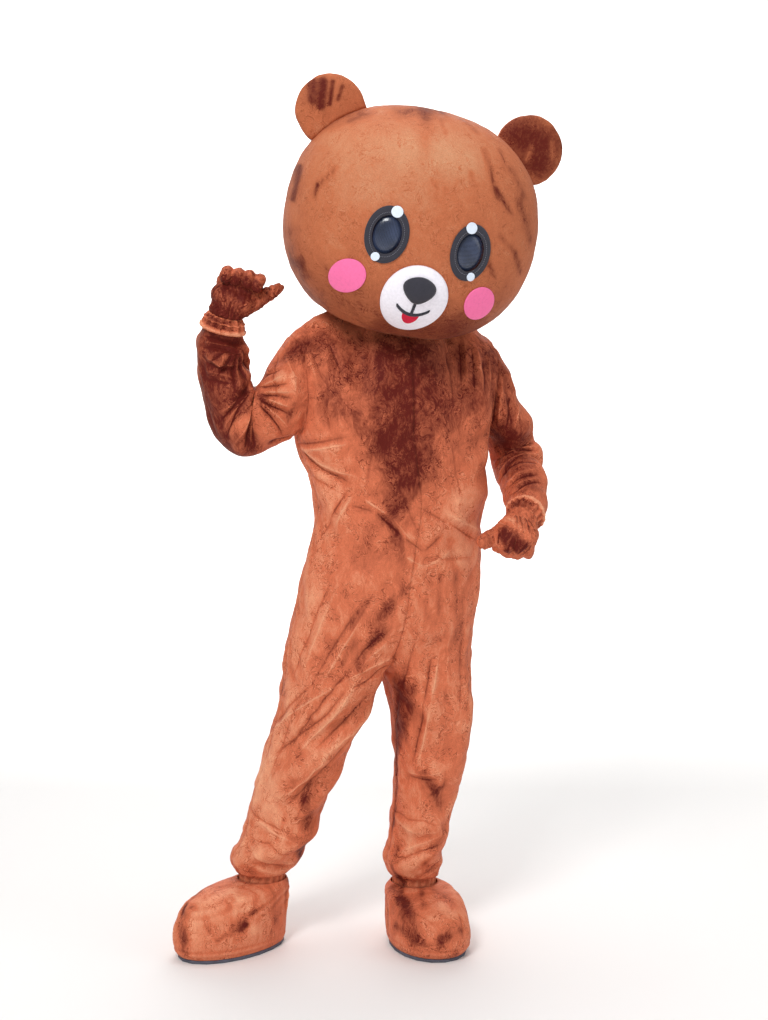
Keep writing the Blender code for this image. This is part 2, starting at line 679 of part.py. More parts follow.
EYE = dict(u=0.086, v=-0.037, hole_u=0.031, hole_v=0.043, ring_u=0.0285, ring_v=0.0405,
           rim_u=0.042, rim_v=0.056, lens_depth=0.0025, lens_thick=0.0015)
EYE_CUT = (-0.290, -0.120)  # from in front of the face to inside the head
GLINTS = {"upper": (-0.010, 0.0470, 0.0115), "lower": (0.012, -0.0455, 0.0085)}  # u, v, radius
MUZZLE = dict(v=-0.146, half_u=0.067, half_v=0.065, edge=0.004, rise=0.017)
NOSE = dict(v=-0.122, half_u=0.032, half_v=0.022, edge=0.003, rise=0.011, widen=0.16)
MOUTH = dict(half_u=0.034, low=-0.168, curl=0.013, half_line=0.0022, top=-0.1455)
TONGUE = dict(reach=0.45, drop=0.015, under=0.0005, edge=0.002)
CHEEK = dict(u=0.138, v=-0.131, radius=0.034)
EAR = dict(y=0.014, radius=0.0745, thick=0.023, edge=0.006)
EAR_AT = {"left": (0.221, 0.205), "right": (-0.212, 0.195)}  # u, v
EYE_COLUMNS = 24
FACE_COLUMNS = dict(rim=20, cheek=16, glint=12, muzzle=24, nose=14)
GLINT_THICK = 0.0012
MOUTH_THICK = 0.0018
EAR_COLUMNS = 16
EAR_ROWS = 3


def to_world(local):
    return HEAD_CENTRE + np.asarray(local) @ HEAD_TURN.T


def head_surface(ray):
    """The head's skin along a ray from its middle, with the normal there (own axes)."""
    ray = np.asarray(ray, float)
    size = (np.abs(ray) ** HEAD_POWER).sum(-1, keepdims=True) ** (-1 / HEAD_POWER)
    point = ray * size * HEAD_HALF
    slope = np.sign(point) * np.abs(point / HEAD_HALF) ** (HEAD_POWER - 1) / HEAD_HALF
    return point, unit(slope)


def opening_lean():
    """The axis and angle that carry straight down to the middle of the neck opening."""
    aim = unit((OPENING_AT - HEAD_CENTRE) @ HEAD_TURN / HEAD_HALF)
    down = np.array([0.0, 0.0, -1.0])
    return unit(np.cross(down, aim)), math.acos(float(down @ aim))


def gore_ray(turn, share, end=None):
    """A ray to the skin: turn round from the face to the left, share 0 at the crown, 1 at the rim."""
    half = OPENING_HALF["front"] + (OPENING_HALF["side"] - OPENING_HALF["front"]) * math.sin(turn) ** 2
    polar = (math.pi - half) * share if end is None else end
    ray = np.array([math.sin(polar) * math.sin(turn), -math.sin(polar) * math.cos(turn), math.cos(polar)])
    lean = min(max((polar - LOWER_FROM) / (math.pi - LOWER_FROM), 0), 1)
    axis, angle = opening_lean()
    angle *= lean * lean * (3 - 2 * lean)
    return (ray * math.cos(angle) + np.cross(axis, ray) * math.sin(angle)
            + axis * (axis @ ray) * (1 - math.cos(angle)))


def gore_turns():
    """Each gore's turns, from the face round to the left, the back and the right."""
    quarter = math.pi / 2
    front = np.linspace(0, quarter, GORE_COLUMNS["front"] + 1)
    back = np.linspace(quarter, 2 * quarter, GORE_COLUMNS["back"] + 1)
    return {("front", "left"): front, ("back", "left"): back,
            ("back", "right"): 4 * quarter - back[::-1], ("front", "right"): 4 * quarter - front[::-1]}


def head_grid(turns, lift=0.0, closed=False):
    rays = [[gore_ray(turn, row / HEAD_ROWS) for turn in turns] for row in range(HEAD_ROWS + 1)]
    if closed:
        rays.append([gore_ray(turn, 1, math.pi) for turn in turns])
    points, normals = head_surface(rays)
    return to_world(points + normals * lift), normals @ HEAD_TURN.T


def face_point(u, v, lift=0.0, inward=0.0):
    """A point on the front of the head: lift along its normal, inward straight back."""
    rest = 1 - abs(u / HEAD_HALF[0]) ** HEAD_POWER - abs(v / HEAD_HALF[2]) ** HEAD_POWER
    y = -HEAD_HALF[1] * rest ** (1 / HEAD_POWER)
    _, normal = head_surface(np.array([u, y, v]) / HEAD_HALF)
    return to_world(np.array([u, y + inward, v]) + normal * lift)


def oval(columns, shares, place):
    """Rings at the given shares of an oval, each running once round: place(cos, sin, share)."""
    turns = np.linspace(0, 2 * math.pi, columns, endpoint=False)
    return np.array([[place(math.cos(t) * s, math.sin(t) * s, s) for t in turns] for s in shares])


def patch(name, finish, columns, shares, centre, half, low, high):
    """An oval piece on the face between two heights over the skin, given as functions of share."""
    def at(height):
        return lambda x, z, s: face_point(centre[0] + x * half[0], centre[1] + z * half[1], height(s))
    return between(name, oval(columns, shares, at(high)), oval(columns, shares, at(low)), finish,
                   closed=True)


def dome(edge, rise, share):
    return edge + rise * max(0.0, 1 - share * share) ** 0.62


def muzzle_height(u, v):
    share = math.hypot(u / MUZZLE["half_u"], (v - MUZZLE["v"]) / MUZZLE["half_v"])
    return SEAM + dome(MUZZLE["edge"], MUZZLE["rise"], min(share, 1))


def build_head():
    for (face, side), turns in gore_turns().items():
        outer, normals = head_grid(turns)
        gore = wall(f"head_{face}_{side}", outer, normals, "brown_velvet", FOAM_WALL)
        if face == "front":
            cut(gore, eye_cutter(side))
    ring = np.concatenate([turns[:-1] for turns in gore_turns().values()])
    skin, _ = head_grid(ring, SEAM, closed=True)
    tool = cutter("cutter_head", skin)
    for side in SIDES:
        build_ear(side, tool)
        build_eye(side)
        sheet(f"cheek_{side}", "pink_felt", FACE_COLUMNS["cheek"], (SIDES[side] * CHEEK["u"], CHEEK["v"]),
              (CHEEK["radius"], CHEEK["radius"]))
    build_muzzle()


def sheet(name, finish, columns, centre, half, base=2 * SEAM, thick=FELT, shares=(0, 0.55, 1)):
    return patch(name, finish, columns, shares, centre, half, lambda s: base, lambda s: base + thick)


def eye_cutter(side):
    middle = SIDES[side] * EYE["u"]
    rings = []
    turns = np.linspace(0, 2 * math.pi, EYE_COLUMNS, endpoint=False)
    for depth in EYE_CUT:
        rings.append([to_world((middle + EYE["hole_u"] * math.cos(t), depth,
                                EYE["v"] + EYE["hole_v"] * math.sin(t))) for t in turns])
    return cutter(f"cutter_eye_{side}", np.array(rings))


def build_eye(side):
    middle = SIDES[side] * EYE["u"]

    def ring_point(lift):
        def place(x, z, s):
            inner = np.array([EYE["ring_u"], EYE["ring_v"]])
            outer = np.array([EYE["rim_u"], EYE["rim_v"]])
            half = inner + (outer - inner) * (s - 1)
            return face_point(middle + x / s * half[0], EYE["v"] + z / s * half[1], lift)
        return place

    columns = FACE_COLUMNS["rim"]
    between(f"eye_rim_{side}", oval(columns, (1, 2), ring_point(SEAM + FELT)),
            oval(columns, (1, 2), ring_point(SEAM)), "black_felt", closed=True)

    def lens_point(inward):
        def place(x, z, s):
            return face_point(middle + x * (EYE["hole_u"] - 2 * SEAM),
                              EYE["v"] + z * (EYE["hole_v"] - 2 * SEAM), inward=inward)
        return place

    depth = EYE["lens_depth"]
    between(f"eye_lens_{side}", oval(columns, (0, 1), lens_point(depth)),
            oval(columns, (0, 1), lens_point(depth + EYE["lens_thick"])), "dark_lens", closed=True)
    for name, (u, v, radius) in GLINTS.items():
        sheet(f"glint_{name}_{side}", "white_felt", FACE_COLUMNS["glint"],
              (middle + SIDES[side] * u, EYE["v"] + v), (radius, radius), base=2 * SEAM + FELT,
              thick=GLINT_THICK, shares=(0, 1))


def build_muzzle():
    shares = (0, 0.35, 0.65, 0.88, 1)
    patch("muzzle", "white_plush", FACE_COLUMNS["muzzle"], shares, (0, MUZZLE["v"]),
          (MUZZLE["half_u"], MUZZLE["half_v"]), lambda s: 2 * SEAM,
          lambda s: SEAM + dome(MUZZLE["edge"], MUZZLE["rise"], s))

    def on_muzzle(u, v, lift):
        return face_point(u, v, muzzle_height(u, v) + lift)

    def nose(height):
        def place(x, z, s):
            u = x * NOSE["half_u"] * (1 + NOSE["widen"] * z)
            v = NOSE["v"] + z * NOSE["half_v"]
            return on_muzzle(u, v, height(s))
        return place

    rings = (0, 0.5, 0.84, 1)
    columns = FACE_COLUMNS["nose"]
    between("nose", oval(columns, rings, nose(lambda s: 2 * SEAM + dome(NOSE["edge"], NOSE["rise"], s))),
            oval(columns, rings, nose(lambda s: 2 * SEAM)), "black_felt", closed=True)

    def smile(t):
        return MOUTH["low"] + MOUTH["curl"] * t * t

    reaches = [-1, -0.8, -0.6, -0.42, -0.24, -0.075, -0.062, 0.062, 0.075, 0.24, 0.42, 0.6, 0.8, 1]
    tops = [MOUTH["top"] if abs(t) < 0.07 else smile(t) + MOUTH["half_line"] for t in reaches]
    strips = []
    for lift in (SEAM + MOUTH_THICK, SEAM):
        rows = []
        for drop in (0, 0.5, 1):
            heights = [top + (smile(t) - MOUTH["half_line"] - top) * drop for t, top in zip(reaches, tops)]
            rows.append([on_muzzle(MOUTH["half_u"] * t, height, lift + SEAM)
                         for t, height in zip(reaches, heights)])
        strips.append(np.array(rows))
    between("mouth", *strips, "black_felt")

    across = np.linspace(-TONGUE["reach"], TONGUE["reach"], 9)
    skins = []
    for lift in (SEAM + MOUTH_THICK, SEAM):
        rows = []
        for drop in (0, 0.5, 1):
            row = []
            for t in across:
                top = smile(t) - MOUTH["half_line"] - TONGUE["under"]
                round_off = math.sqrt(max(0, 1 - (t / TONGUE["reach"]) ** 2))
                low = top - TONGUE["edge"] - TONGUE["drop"] * round_off
                row.append(on_muzzle(MOUTH["half_u"] * t, top + (low - top) * drop, lift + SEAM))
            rows.append(row)
        skins.append(np.array(rows))
    between("tongue", *skins, "red_felt")


def build_ear(side, tool):
    shares = np.linspace(0, 1, EAR_ROWS + 1) ** 0.8
    for face, forward in (("front", -1), ("back", 1)):
        def place(depth, forward=forward):
            def point(x, z, s):
                return to_world((EAR_AT[side][0] + x * EAR["radius"], EAR["y"] + forward * depth(s),
                                 EAR_AT[side][1] + z * EAR["radius"]))
            return point
        thick = EAR["thick"] - EAR["edge"]

        def half_depth(s, thick=thick):
            return EAR["edge"] + thick * math.sqrt(max(0.0, 1 - s * s))

        outer = oval(EAR_COLUMNS, shares, place(half_depth))
        inner = oval(EAR_COLUMNS, (0, 1), place(lambda s: SEAM / 2))
        inner = np.array([inner[0] + (inner[1] - inner[0]) * s for s in shares])
        ear = between(f"ear_{face}_{side}", outer, inner, "brown_velvet", closed=True)
        cut(ear, tool)


# Gloves --------------------------------------------------------------------------------------
# A glove grows from its wrist gather along the hand; "thumb" is the way to the thumb's side and
# the palm looks the way that "palm" times the cross product of the two points.

GLOVES = {
    "right": dict(gather=(-0.3892, -0.0357, 0.0377), cuff=(0.15, -0.35, 0.92), hand=(0.40, -0.20, 0.89),
                  thumb=(0.96, -0.25, -0.17), palm=1, thumb_tip=(-0.269, -0.050, 0.097),
                  spread=0.975),
    "left": dict(gather=(0.2300, -0.1660, -0.4000), cuff=(-0.60, -0.60, -0.53), hand=(-0.58, -0.58, -0.58),
                 thumb=(-0.93, 0.10, -0.20), palm=-1, thumb_tip=(0.117, -0.200, -0.444),
                 spread=0.58),
}
FIST = table(
    "along half_thumb half_palm shift ridge",
    (0.000, 0.0350, 0.0350, 0.000, 0.0000),
    (0.012, 0.0380, 0.0350, 0.000, 0.0010),
    (0.028, 0.0460, 0.0360, 0.003, 0.0010),
    (0.045, 0.0515, 0.0385, 0.006, 0.0010),
    (0.061, 0.0535, 0.0400, 0.008, 0.0030),
    (0.075, 0.0530, 0.0395, 0.008, 0.0040),
    (0.088, 0.0480, 0.0350, 0.009, 0.0040),
    (0.097, 0.0360, 0.0250, 0.009, 0.0020),
)
FIST_TIP = 0.101
HAND_COLUMNS = 8  # cells across one half of a glove
CUFF = table(
    "along radius wave",
    (-0.0006, 0.0345, 0.0010),
    (-0.0110, 0.0425, 0.0025),
    (-0.0230, 0.0480, 0.0030),
    (-0.0340, 0.0510, 0.0030),
)
CUFF_PLEATS = 14
THUMB = dict(along=0.036, start=0.030, palm=0.012, base=0.020, columns=8)
THUMB_TAPER = table(
    "place size",
    (0.000, 1.00),
    (0.420, 0.92),
    (0.720, 0.80),
    (0.900, 0.66),
    (0.975, 0.38),
    (1.000, 0.00),
)
THUMB_CLEARANCE = 0.0003  # beyond the seam, round the fist where the thumb is sewn on
HOLE_MARGIN = 0.0005  # the hole in the palm is smaller than the thumb's hollow by this


def hand_frame(side, along):
    """The middle of the glove's section, with the ways to the thumb's side and out of the palm."""
    glove = GLOVES[side]
    cuff, hand = unit(glove["cuff"]), unit(glove["hand"])
    turn = min(max(along / 0.03, 0), 1)
    way = unit(cuff + (hand - cuff) * turn)
    middle = np.array(glove["gather"]) + (cuff * along if along < 0 else hand * along)
    thumb = np.array(glove["thumb"])
    thumb = unit(thumb - (thumb @ way) * way)
    return middle, thumb, np.cross(thumb, way) * glove["palm"], way


def fist_ring(side, row, turns, lift=0.0):
    middle, thumb, palm, _ = hand_frame(side, FIST["along"][row])
    ring = []
    for c, turn in enumerate(turns):
        ridge = FIST["ridge"][row] * (1 if c % 2 else -1) * abs(math.sin(turn))
        x = math.cos(turn) * (FIST["half_thumb"][row] + lift)
        y = math.sin(turn) * (FIST["half_palm"][row] + lift + ridge) + FIST["shift"][row]
        ring.append(middle + thumb * x + palm * y)
    return ring


def fist_grid(side, turns, lift=0.0):
    rows = [fist_ring(side, row, turns, lift) for row in range(len(FIST["along"]))]
    middle, _, palm, way = hand_frame(side, FIST_TIP)
    rows.append([middle + palm * FIST["shift"][-1] + way * lift] * len(turns))
    return np.array(rows)


def tube(start, end, way_up, radii, places, columns, lift=0.0):
    """Rings round a straight line between two points, the last of them a point."""
    along = unit(end - start)
    first = unit(way_up - (way_up @ along) * along)
    second = np.cross(along, first)
    length = np.linalg.norm(end - start)
    turns = np.linspace(0, 2 * math.pi, columns, endpoint=False)
    rows = []
    for radius, place in zip(radii, places):
        middle = start + along * length * place
        size = max(radius + lift, 0) if radius else 0
        rows.append([middle + (first * math.cos(t) + second * math.sin(t)) * size for t in turns])
    return np.array(rows)


def fist_normals(side, grids):
    """Normals out of the fist, shared where its two halves meet."""
    row, column = len(FIST["along"]) // 2, HAND_COLUMNS // 2
    middle = hand_frame(side, FIST["along"][row])[0]
    normals = {}
    for name, grid in grids.items():
        normal = grid_normals(grid)
        if (grid[row, column] - middle) @ normal[row, column] < 0:
            normal = -normal
        normal[-1] = hand_frame(side, FIST_TIP)[3]
        normals[name] = normal
    share_normals(list(grids.values()), list(normals.values()))
    return normals


def build_thumb(side):
    """The thumb, trimmed to the fist; returns the cutter for its hole in the palm."""
    base, thumb_way, palm, way = hand_frame(side, THUMB["along"])
    start = base + thumb_way * THUMB["start"] + palm * THUMB["palm"]
    tip = np.array(GLOVES[side]["thumb_tip"])
    places, columns = THUMB_TAPER["place"], THUMB["columns"]
    radii = THUMB_TAPER["size"] * THUMB["base"]
    hollow_tip = tip - unit(tip - start) * CLOTH
    outer = tube(start, tip, way, radii, places, columns)
    inner = tube(start, hollow_tip, way, np.maximum(radii - CLOTH, 0), places, columns)
    thumb = between(f"glove_thumb_{side}", outer, inner, "brown_velvet", closed=True)
    whole = np.linspace(0, 2 * math.pi, 2 * HAND_COLUMNS, endpoint=False)
    cut(thumb, cutter(f"cutter_fist_{side}", fist_grid(side, whole, SEAM + THUMB_CLEARANCE)))
    hole = tube(start, tip, way, radii[:3] - CLOTH, places[:3], columns, -HOLE_MARGIN)
    return cutter(f"cutter_thumb_{side}", hole)


def build_glove(side):
    grids = {"palm": fist_grid(side, np.linspace(0, math.pi, HAND_COLUMNS + 1)),
             "back": fist_grid(side, np.linspace(0, -math.pi, HAND_COLUMNS + 1))}
    normals = fist_normals(side, grids)
    hole = build_thumb(side)
    for name, grid in grids.items():
        half = wall(f"glove_{name}_{side}", grid, normals[name], "brown_velvet")
        if name == "palm":
            cut(half, hole)
    build_cuff(side)


def build_cuff(side):
    turns = np.linspace(0, 2 * math.pi, 2 * CUFF_PLEATS, endpoint=False)
    skins = []
    radii = CUFF["radius"][0] + (CUFF["radius"] - CUFF["radius"][0]) * GLOVES[side]["spread"]
    for thick in (0, CLOTH):
        rows = []
        for along, radius, wave in zip(CUFF["along"], radii, CUFF["wave"]):
            middle, thumb, palm, _ = hand_frame(side, min(along, 0))
            rows.append([middle + (thumb * math.cos(t) + palm * math.sin(t))
                         * (radius - thick + (wave if i % 2 else -wave)) for i, t in enumerate(turns)])
        skins.append(np.array(rows))
    between(f"glove_cuff_{side}", *skins, "brown_velvet", closed=True)


# Shoe covers ---------------------------------------------------------------------------------

SHOES = {
    "right": dict(ankle=(-0.278, 0.101), toe_way=(-0.944, -0.331), hem=-1.188, collar=0.0525,
                  spread=0.0017, width=1.0),
    "left": dict(ankle=(0.062, 0.041), toe_way=(-0.040, -1.0), hem=-1.212, collar=0.0500,
                 spread=0.0012, width=1.08),
}
SOLE_THICK = 0.008
SHOE_UPPER = table(
    "share toe heel half_width",
    (1.00, 0.050, 0.050, 0.050),
    (0.90, 0.138, 0.064, 0.070),
    (0.76, 0.188, 0.063, 0.076),
    (0.50, 0.215, 0.060, 0.080),
    (0.24, 0.224, 0.056, 0.081),
    (0.07, 0.219, 0.053, 0.077),
    (0.00, 0.211, 0.050, 0.073),
)
SHOE_COLUMNS = 18
TOE_BULGE = 0.10  # how much rounder the toe is than the heel
TOP_DROP = 0.014  # from the leg's hem down to the top of the upper
COLLAR_EASE = 0.0010  # between the collar and the upper round it
SOLE_LIP = 0.001  # the sole stands out under the upper by this
COLLAR_PLEATS = 12
COLLAR = dict(over=0.020, low_lap=0.003, pinch=0.001, under=0.008, tuck=0.018, wave=0.003)


def outline(side, toe, heel, half_width, turns, bulge=TOE_BULGE):
    """An egg round the ankle: turn 0 at the heel, rounder at the toe."""
    shoe = SHOES[side]
    way = unit(np.array(shoe["toe_way"]))
    across = np.array([way[1], -way[0]])
    points = []
    for turn in turns:
        ahead = (toe - heel) / 2 - (toe + heel) / 2 * math.cos(turn)
        out = half_width * shoe["width"] * math.sin(turn) * (1 - bulge * math.cos(turn))
        points.append(np.array(shoe["ankle"]) + way * ahead + across * out)
    return points


def upper_top(side):
    return SHOES[side]["hem"] - TOP_DROP


def build_shoe(side):
    shoe = SHOES[side]
    turns = np.linspace(0, 2 * math.pi, SHOE_COLUMNS + 1)
    base = FLOOR + SOLE_THICK + SEAM
    rows = []
    for share, toe, heel, half_width in zip(*SHOE_UPPER.values()):
        mouth = share == 1
        size = shoe["collar"] + CLOTH + COLLAR_EASE
        if mouth:
            toe, heel, half_width = size, size, size / shoe["width"]
        ring = outline(side, toe, heel, half_width, turns, 0 if mouth else TOE_BULGE)
        height = base + (upper_top(side) - base) * share
        rows.append([np.array([*p, height]) for p in ring])
    grid = np.array(rows)
    normals = grid_normals(grid)
    middle = grid.mean((0, 1))
    if (normals[4, 5] @ (grid[4, 5] - middle)) < 0:
        normals = -normals
    share_normals([grid], [normals])
    level = normals[-1].copy()
    level[:, 2] = 0
    normals[-1] = unit(level)
    wall(f"shoe_upper_{side}", grid, normals, "brown_velvet")
    turns = turns[:-1]
    foot = [SHOE_UPPER[name][-1] + SOLE_LIP for name in ("toe", "heel", "half_width")]
    ring = outline(side, *foot, turns)
    plate = np.array([[np.array([*p, z]) for p in ring] for z in (FLOOR, FLOOR + SOLE_THICK)])
    centre = np.repeat(plate.mean(1, keepdims=True), plate.shape[1], 1)
    between(f"shoe_sole_{side}", plate, centre, "grey_sole", closed=True)
    build_collar(side)


def build_collar(side):
    shoe = SHOES[side]
    turns = np.linspace(0, 2 * math.pi, 2 * COLLAR_PLEATS, endpoint=False)
    hem, full = shoe["hem"], shoe["collar"]
    wave = COLLAR["wave"]
    profile = ((hem + COLLAR["over"], full - COLLAR["pinch"], wave),
               (hem + COLLAR["low_lap"], full + shoe["spread"], wave),
               (hem - COLLAR["under"], full, wave),
               (upper_top(side) - COLLAR["tuck"], full, wave / 2))
    skins = []
    for thick in (0, CLOTH):
        rows = []
        for z, radius, wave in profile:
            row = []
            for i, t in enumerate(turns):
                size = radius - thick - (0 if i % 2 else wave)
                row.append([shoe["ankle"][0] + math.cos(t) * size, shoe["ankle"][1] + math.sin(t) * size, z])
            rows.append(row)
        skins.append(np.array(rows))
    between(f"shoe_collar_{side}", *skins, "brown_velvet", closed=True)


# Back zip ------------------------------------------------------------------------------------

ZIP = dict(half_width=0.006, thick=0.0015, bottom=-0.55, top_drop=0.003, clear=0.0005)
SLIDER_DROP = 0.010  # of the slider under the top of the tape
SLIDER = dict(top=0.008, bottom=-0.006, half_width=0.005, thick=0.003)
PULL = dict(top=-0.0064, bottom=-0.066, half_width=0.004, thick=0.0012)


def zip_line(grids, normals):
    """Down the middle of the back: point, way to the left and normal of each row."""
    left, right = grids["back", "left"], grids["back", "right"]
    middle = left[:, 0]
    return middle, unit(left[:, 1] - middle), unit(right[:, 1] - middle), normals["back", "left"][:, 0]


def strip(name, finish, line, heights, half_width, low, high):
    """A narrow strip along the zip line, bent over the seam with the panels."""
    middle, left, right, normal = line
    at = -middle[:, 2]
    skins = []
    for lift in (high, low):
        rows = []
        for height in heights:
            def mean(values, height=height):
                return np.array([np.interp(-height, at, values[:, i]) for i in range(3)])
            lifted = mean(middle) + unit(mean(normal)) * lift
            rows.append([lifted + mean(right) * half_width, lifted, lifted + mean(left) * half_width])
        skins.append(np.array(rows))
    return between(name, *skins, finish)


def build_zip(grids, normals):
    line = zip_line(grids, normals)
    heights = [z for z in line[0][:, 2] if z > ZIP["bottom"]]
    heights[0] -= ZIP["top_drop"]
    tape = (ZIP["clear"], ZIP["clear"] + ZIP["thick"])
    strip("zip_tape", "zip_tape", line, heights, ZIP["half_width"], *tape)
    low = tape[1] + SEAM
    start = heights[0]
    for name, finish, part in (("zip_slider", "zip_metal", SLIDER), ("zip_pull", "zip_tape", PULL)):
        top = start - SLIDER_DROP + part["top"]
        bottom = start - SLIDER_DROP + part["bottom"]
        runs = [top] + [z for z in heights if bottom < z < top] + [bottom]
        strip(name, finish, line, runs, part["half_width"], low, low + part["thick"])


def clear_scene():
    for found in list(bpy.data.objects):
        bpy.data.objects.remove(found, do_unlink=True)


def main():
    clear_scene()
    grids, normals = build_suit()
    build_head()
    for side in SIDES:
        build_glove(side)
        build_shoe(side)
    build_zip(grids, normals)


main()
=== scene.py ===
"""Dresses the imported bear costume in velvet, felt and trim, and sets it on a plain studio floor.

Metres, +Z up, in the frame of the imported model: the suit faces -Y and the origin is on the wearer's
shoulder line. Left and right are the wearer's: left is +X.
"""

import math

import bmesh
import bpy
import numpy as np
from bpy.props import FloatProperty, FloatVectorProperty, IntProperty, PointerProperty
from mathutils import Euler, Matrix, Vector
from mathutils.bvhtree import BVHTree
from mathutils.kdtree import KDTree


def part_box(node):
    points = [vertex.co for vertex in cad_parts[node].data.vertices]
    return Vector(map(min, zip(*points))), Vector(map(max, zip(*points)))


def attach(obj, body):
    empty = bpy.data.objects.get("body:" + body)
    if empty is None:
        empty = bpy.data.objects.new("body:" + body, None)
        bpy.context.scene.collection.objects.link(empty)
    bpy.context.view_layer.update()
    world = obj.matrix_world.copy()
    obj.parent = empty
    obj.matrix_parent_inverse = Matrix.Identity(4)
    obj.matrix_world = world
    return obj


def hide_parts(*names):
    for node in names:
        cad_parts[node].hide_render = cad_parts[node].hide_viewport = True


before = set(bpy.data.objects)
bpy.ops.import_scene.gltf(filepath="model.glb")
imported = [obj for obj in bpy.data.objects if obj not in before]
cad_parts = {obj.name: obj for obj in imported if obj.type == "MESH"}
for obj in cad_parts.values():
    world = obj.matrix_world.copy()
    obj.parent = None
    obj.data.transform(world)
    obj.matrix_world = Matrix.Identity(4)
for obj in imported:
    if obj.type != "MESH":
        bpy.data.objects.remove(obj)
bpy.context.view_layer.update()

bl_info = {
    "name": "Plush Bear Costume",
    "version": (1, 0, 0),
    "blender": (4, 5, 0),
    "location": "View3D > Sidebar > Costume",
    "description": "Velvet suit, head, gloves and shoe covers of a plush bear costume",
    "category": "Object",
}

BODY = "root"
SIDES = {"left": 1, "right": -1}
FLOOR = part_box("shoe_sole_left")[0].z
MERGE = 1e-5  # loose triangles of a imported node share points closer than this
SEAM_REACH = 0.0009  # panels stand closer than this along a seam
REFINE_ROUNDS = 4  # corrections that bring a smoothed surface back through its points
RIM_BAND = 1.3  # a face narrower than this share of the cloth's thickness closes a panel's rim


def linear(code):
    """An sRGB hex colour as linear red, green, blue and alpha."""
    parts = [int(code[i : i + 2], 16) / 255 for i in (1, 3, 5)]
    return (*(c / 12.92 if c <= 0.04045 else ((c + 0.055) / 1.055) ** 2.4 for c in parts), 1.0)


def colour(name, description, code):
    return FloatVectorProperty(name=name, description=description, size=4, subtype="COLOR",
                               default=linear(code), min=0, max=1)


def length(name, description, default):
    return FloatProperty(name=name, description=description, default=default, unit="LENGTH")


class CostumeColours(bpy.types.PropertyGroup):
    velvet: colour("Velvet", "Pile of the suit, gloves and shoes as it lies", "#D4724F")
    # The lit copy gives painted highlights and random pale tone; the brushed-back copy gives brushed
    # pile, painted shade and random dark tone.
    velvet_glow: colour("Velvet, lit", "Pile that leans towards the light", "#EFA680")
    velvet_dark: colour("Velvet, brushed back", "Pile that leans away from the light", "#601B13")
    head: colour("Head velvet", "Smooth pile over the foam of the head", "#BF6D48")
    # Lit and brushed-back copies of the head velvet alike: painted highlight over the forehead,
    # painted shade over the chin and lower sides, and finger strokes in the pile.
    head_glow: colour("Head velvet, lit", "Pile of the head that leans to the light", "#CC946F")
    head_dark: colour("Head velvet, brushed back", "Finger strokes in the head's pile", "#611F15")
    pink: colour("Cheek felt", "Round cheek patches", "#FF78AE")
    white: colour("Muzzle plush", "Short pile of the muzzle", "#F8F4FC")
    black: colour("Black felt", "Eye rims, nose and mouth", "#3B3A42")
    glint: colour("Glint felt", "White dots on the eyes", "#E3EDFB")
    red: colour("Tongue felt", "Tongue under the mouth", "#D8143A")
    thread: colour("Thread", "Stitches on the eye rims", "#8F8F9A")
    lens: colour("Lens mesh", "Dark mesh that the wearer looks through", "#2B344A")
    sole: colour("Foam sole", "Sole of the shoe covers", "#5B5C68")
    tape: colour("Zip tape", "Woven tape of the back zip", "#7A3B22")
    brass: colour("Brass", "Zip teeth and slider", "#B99B5A")
    floor: colour("Floor", "Studio floor and backdrop", "#F4F3F1")


class ClothSizes(bpy.types.PropertyGroup):
    cloth: length("Cloth", "Thickness of the velvet", 0.002)
    felt: length("Felt", "Thickness of the felt pieces", 0.0025)
    foam: length("Foam wall", "Foam and velvet of the head together", 0.012)
    seam_dip: length("Seam dip", "How far a seam sinks into the pile", 0.0012)
    seam_width: length("Seam width", "Reach of the dip on each side of a seam", 0.006)
    crease: length("Crease", "Height of the fine creases over the suit", 0.0015)
    growth: FloatProperty(name="Spare cloth", subtype="FACTOR", default=0.03, min=0, max=0.2,
                          description="Share of cloth to spare, which crumples into folds")
    hold: FloatProperty(name="Hold", subtype="FACTOR", default=0.16, min=0, max=1,
                        description="How firmly the cloth keeps to its worn form")
    fold_reach: length("Fold reach", "Farthest that a fold stands off the worn form", 0.0040)
    sim_steps: IntProperty(name="Cloth steps", default=30, min=1,
                           description="Steps that the spare cloth has to settle")


GROUPS = {"costume_colours": CostumeColours, "costume_sizes": ClothSizes}


def colours():
    return bpy.context.scene.costume_colours


def sizes():
    return bpy.context.scene.costume_sizes


# Small helpers -------------------------------------------------------------------------------


def table(columns, *rows):
    """Rows of numbers under named columns."""
    names = columns.split()
    return [dict(zip(names, row)) for row in rows]


def runs(columns, *rows):
    """A table of straight runs whose lengths are given in millimetres and kept in metres."""
    made = table(columns, *rows)
    for row in made:
        for name in row:
            if name != "strength":
                row[name] /= 1000
    return made


def unit(v):
    v = np.asarray(v, float)
    return v / np.maximum(np.linalg.norm(v, axis=-1, keepdims=True), 1e-12)


def step(low, high, x):
    """0 below low, 1 above high and a smooth rise between."""
    t = np.clip((np.asarray(x, float) - low) / (high - low), 0, 1)
    return t * t * (3 - 2 * t)


def read(items, attribute):
    flat = np.empty(len(items) * 3)
    items.foreach_get(attribute, flat)
    return flat.reshape(-1, 3)


def points_of(mesh):
    return read(mesh.vertices, "co")


def normals_of(mesh):
    return read(mesh.vertex_normals, "vector")


def put_points(mesh, points):
    mesh.vertices.foreach_set("co", np.ascontiguousarray(points, np.float64).ravel())
    mesh.update()


def opened(mesh):
    """The mesh as a bmesh."""
    bm = bmesh.new()
    bm.from_mesh(mesh)
    return bm


def places_of(bm):
    return np.array([v.co for v in bm.verts])


def put_all(bm, places, outwards=True):
    """Puts each point of the bmesh at its place, and as a rule turns its faces outwards."""
    for vert, place in zip(bm.verts, places):
        vert.co = place
    if outwards:
        bmesh.ops.recalc_face_normals(bm, faces=bm.faces)


def set_all(target, settings):
    for name, value in settings.items():
        setattr(target, name, value)


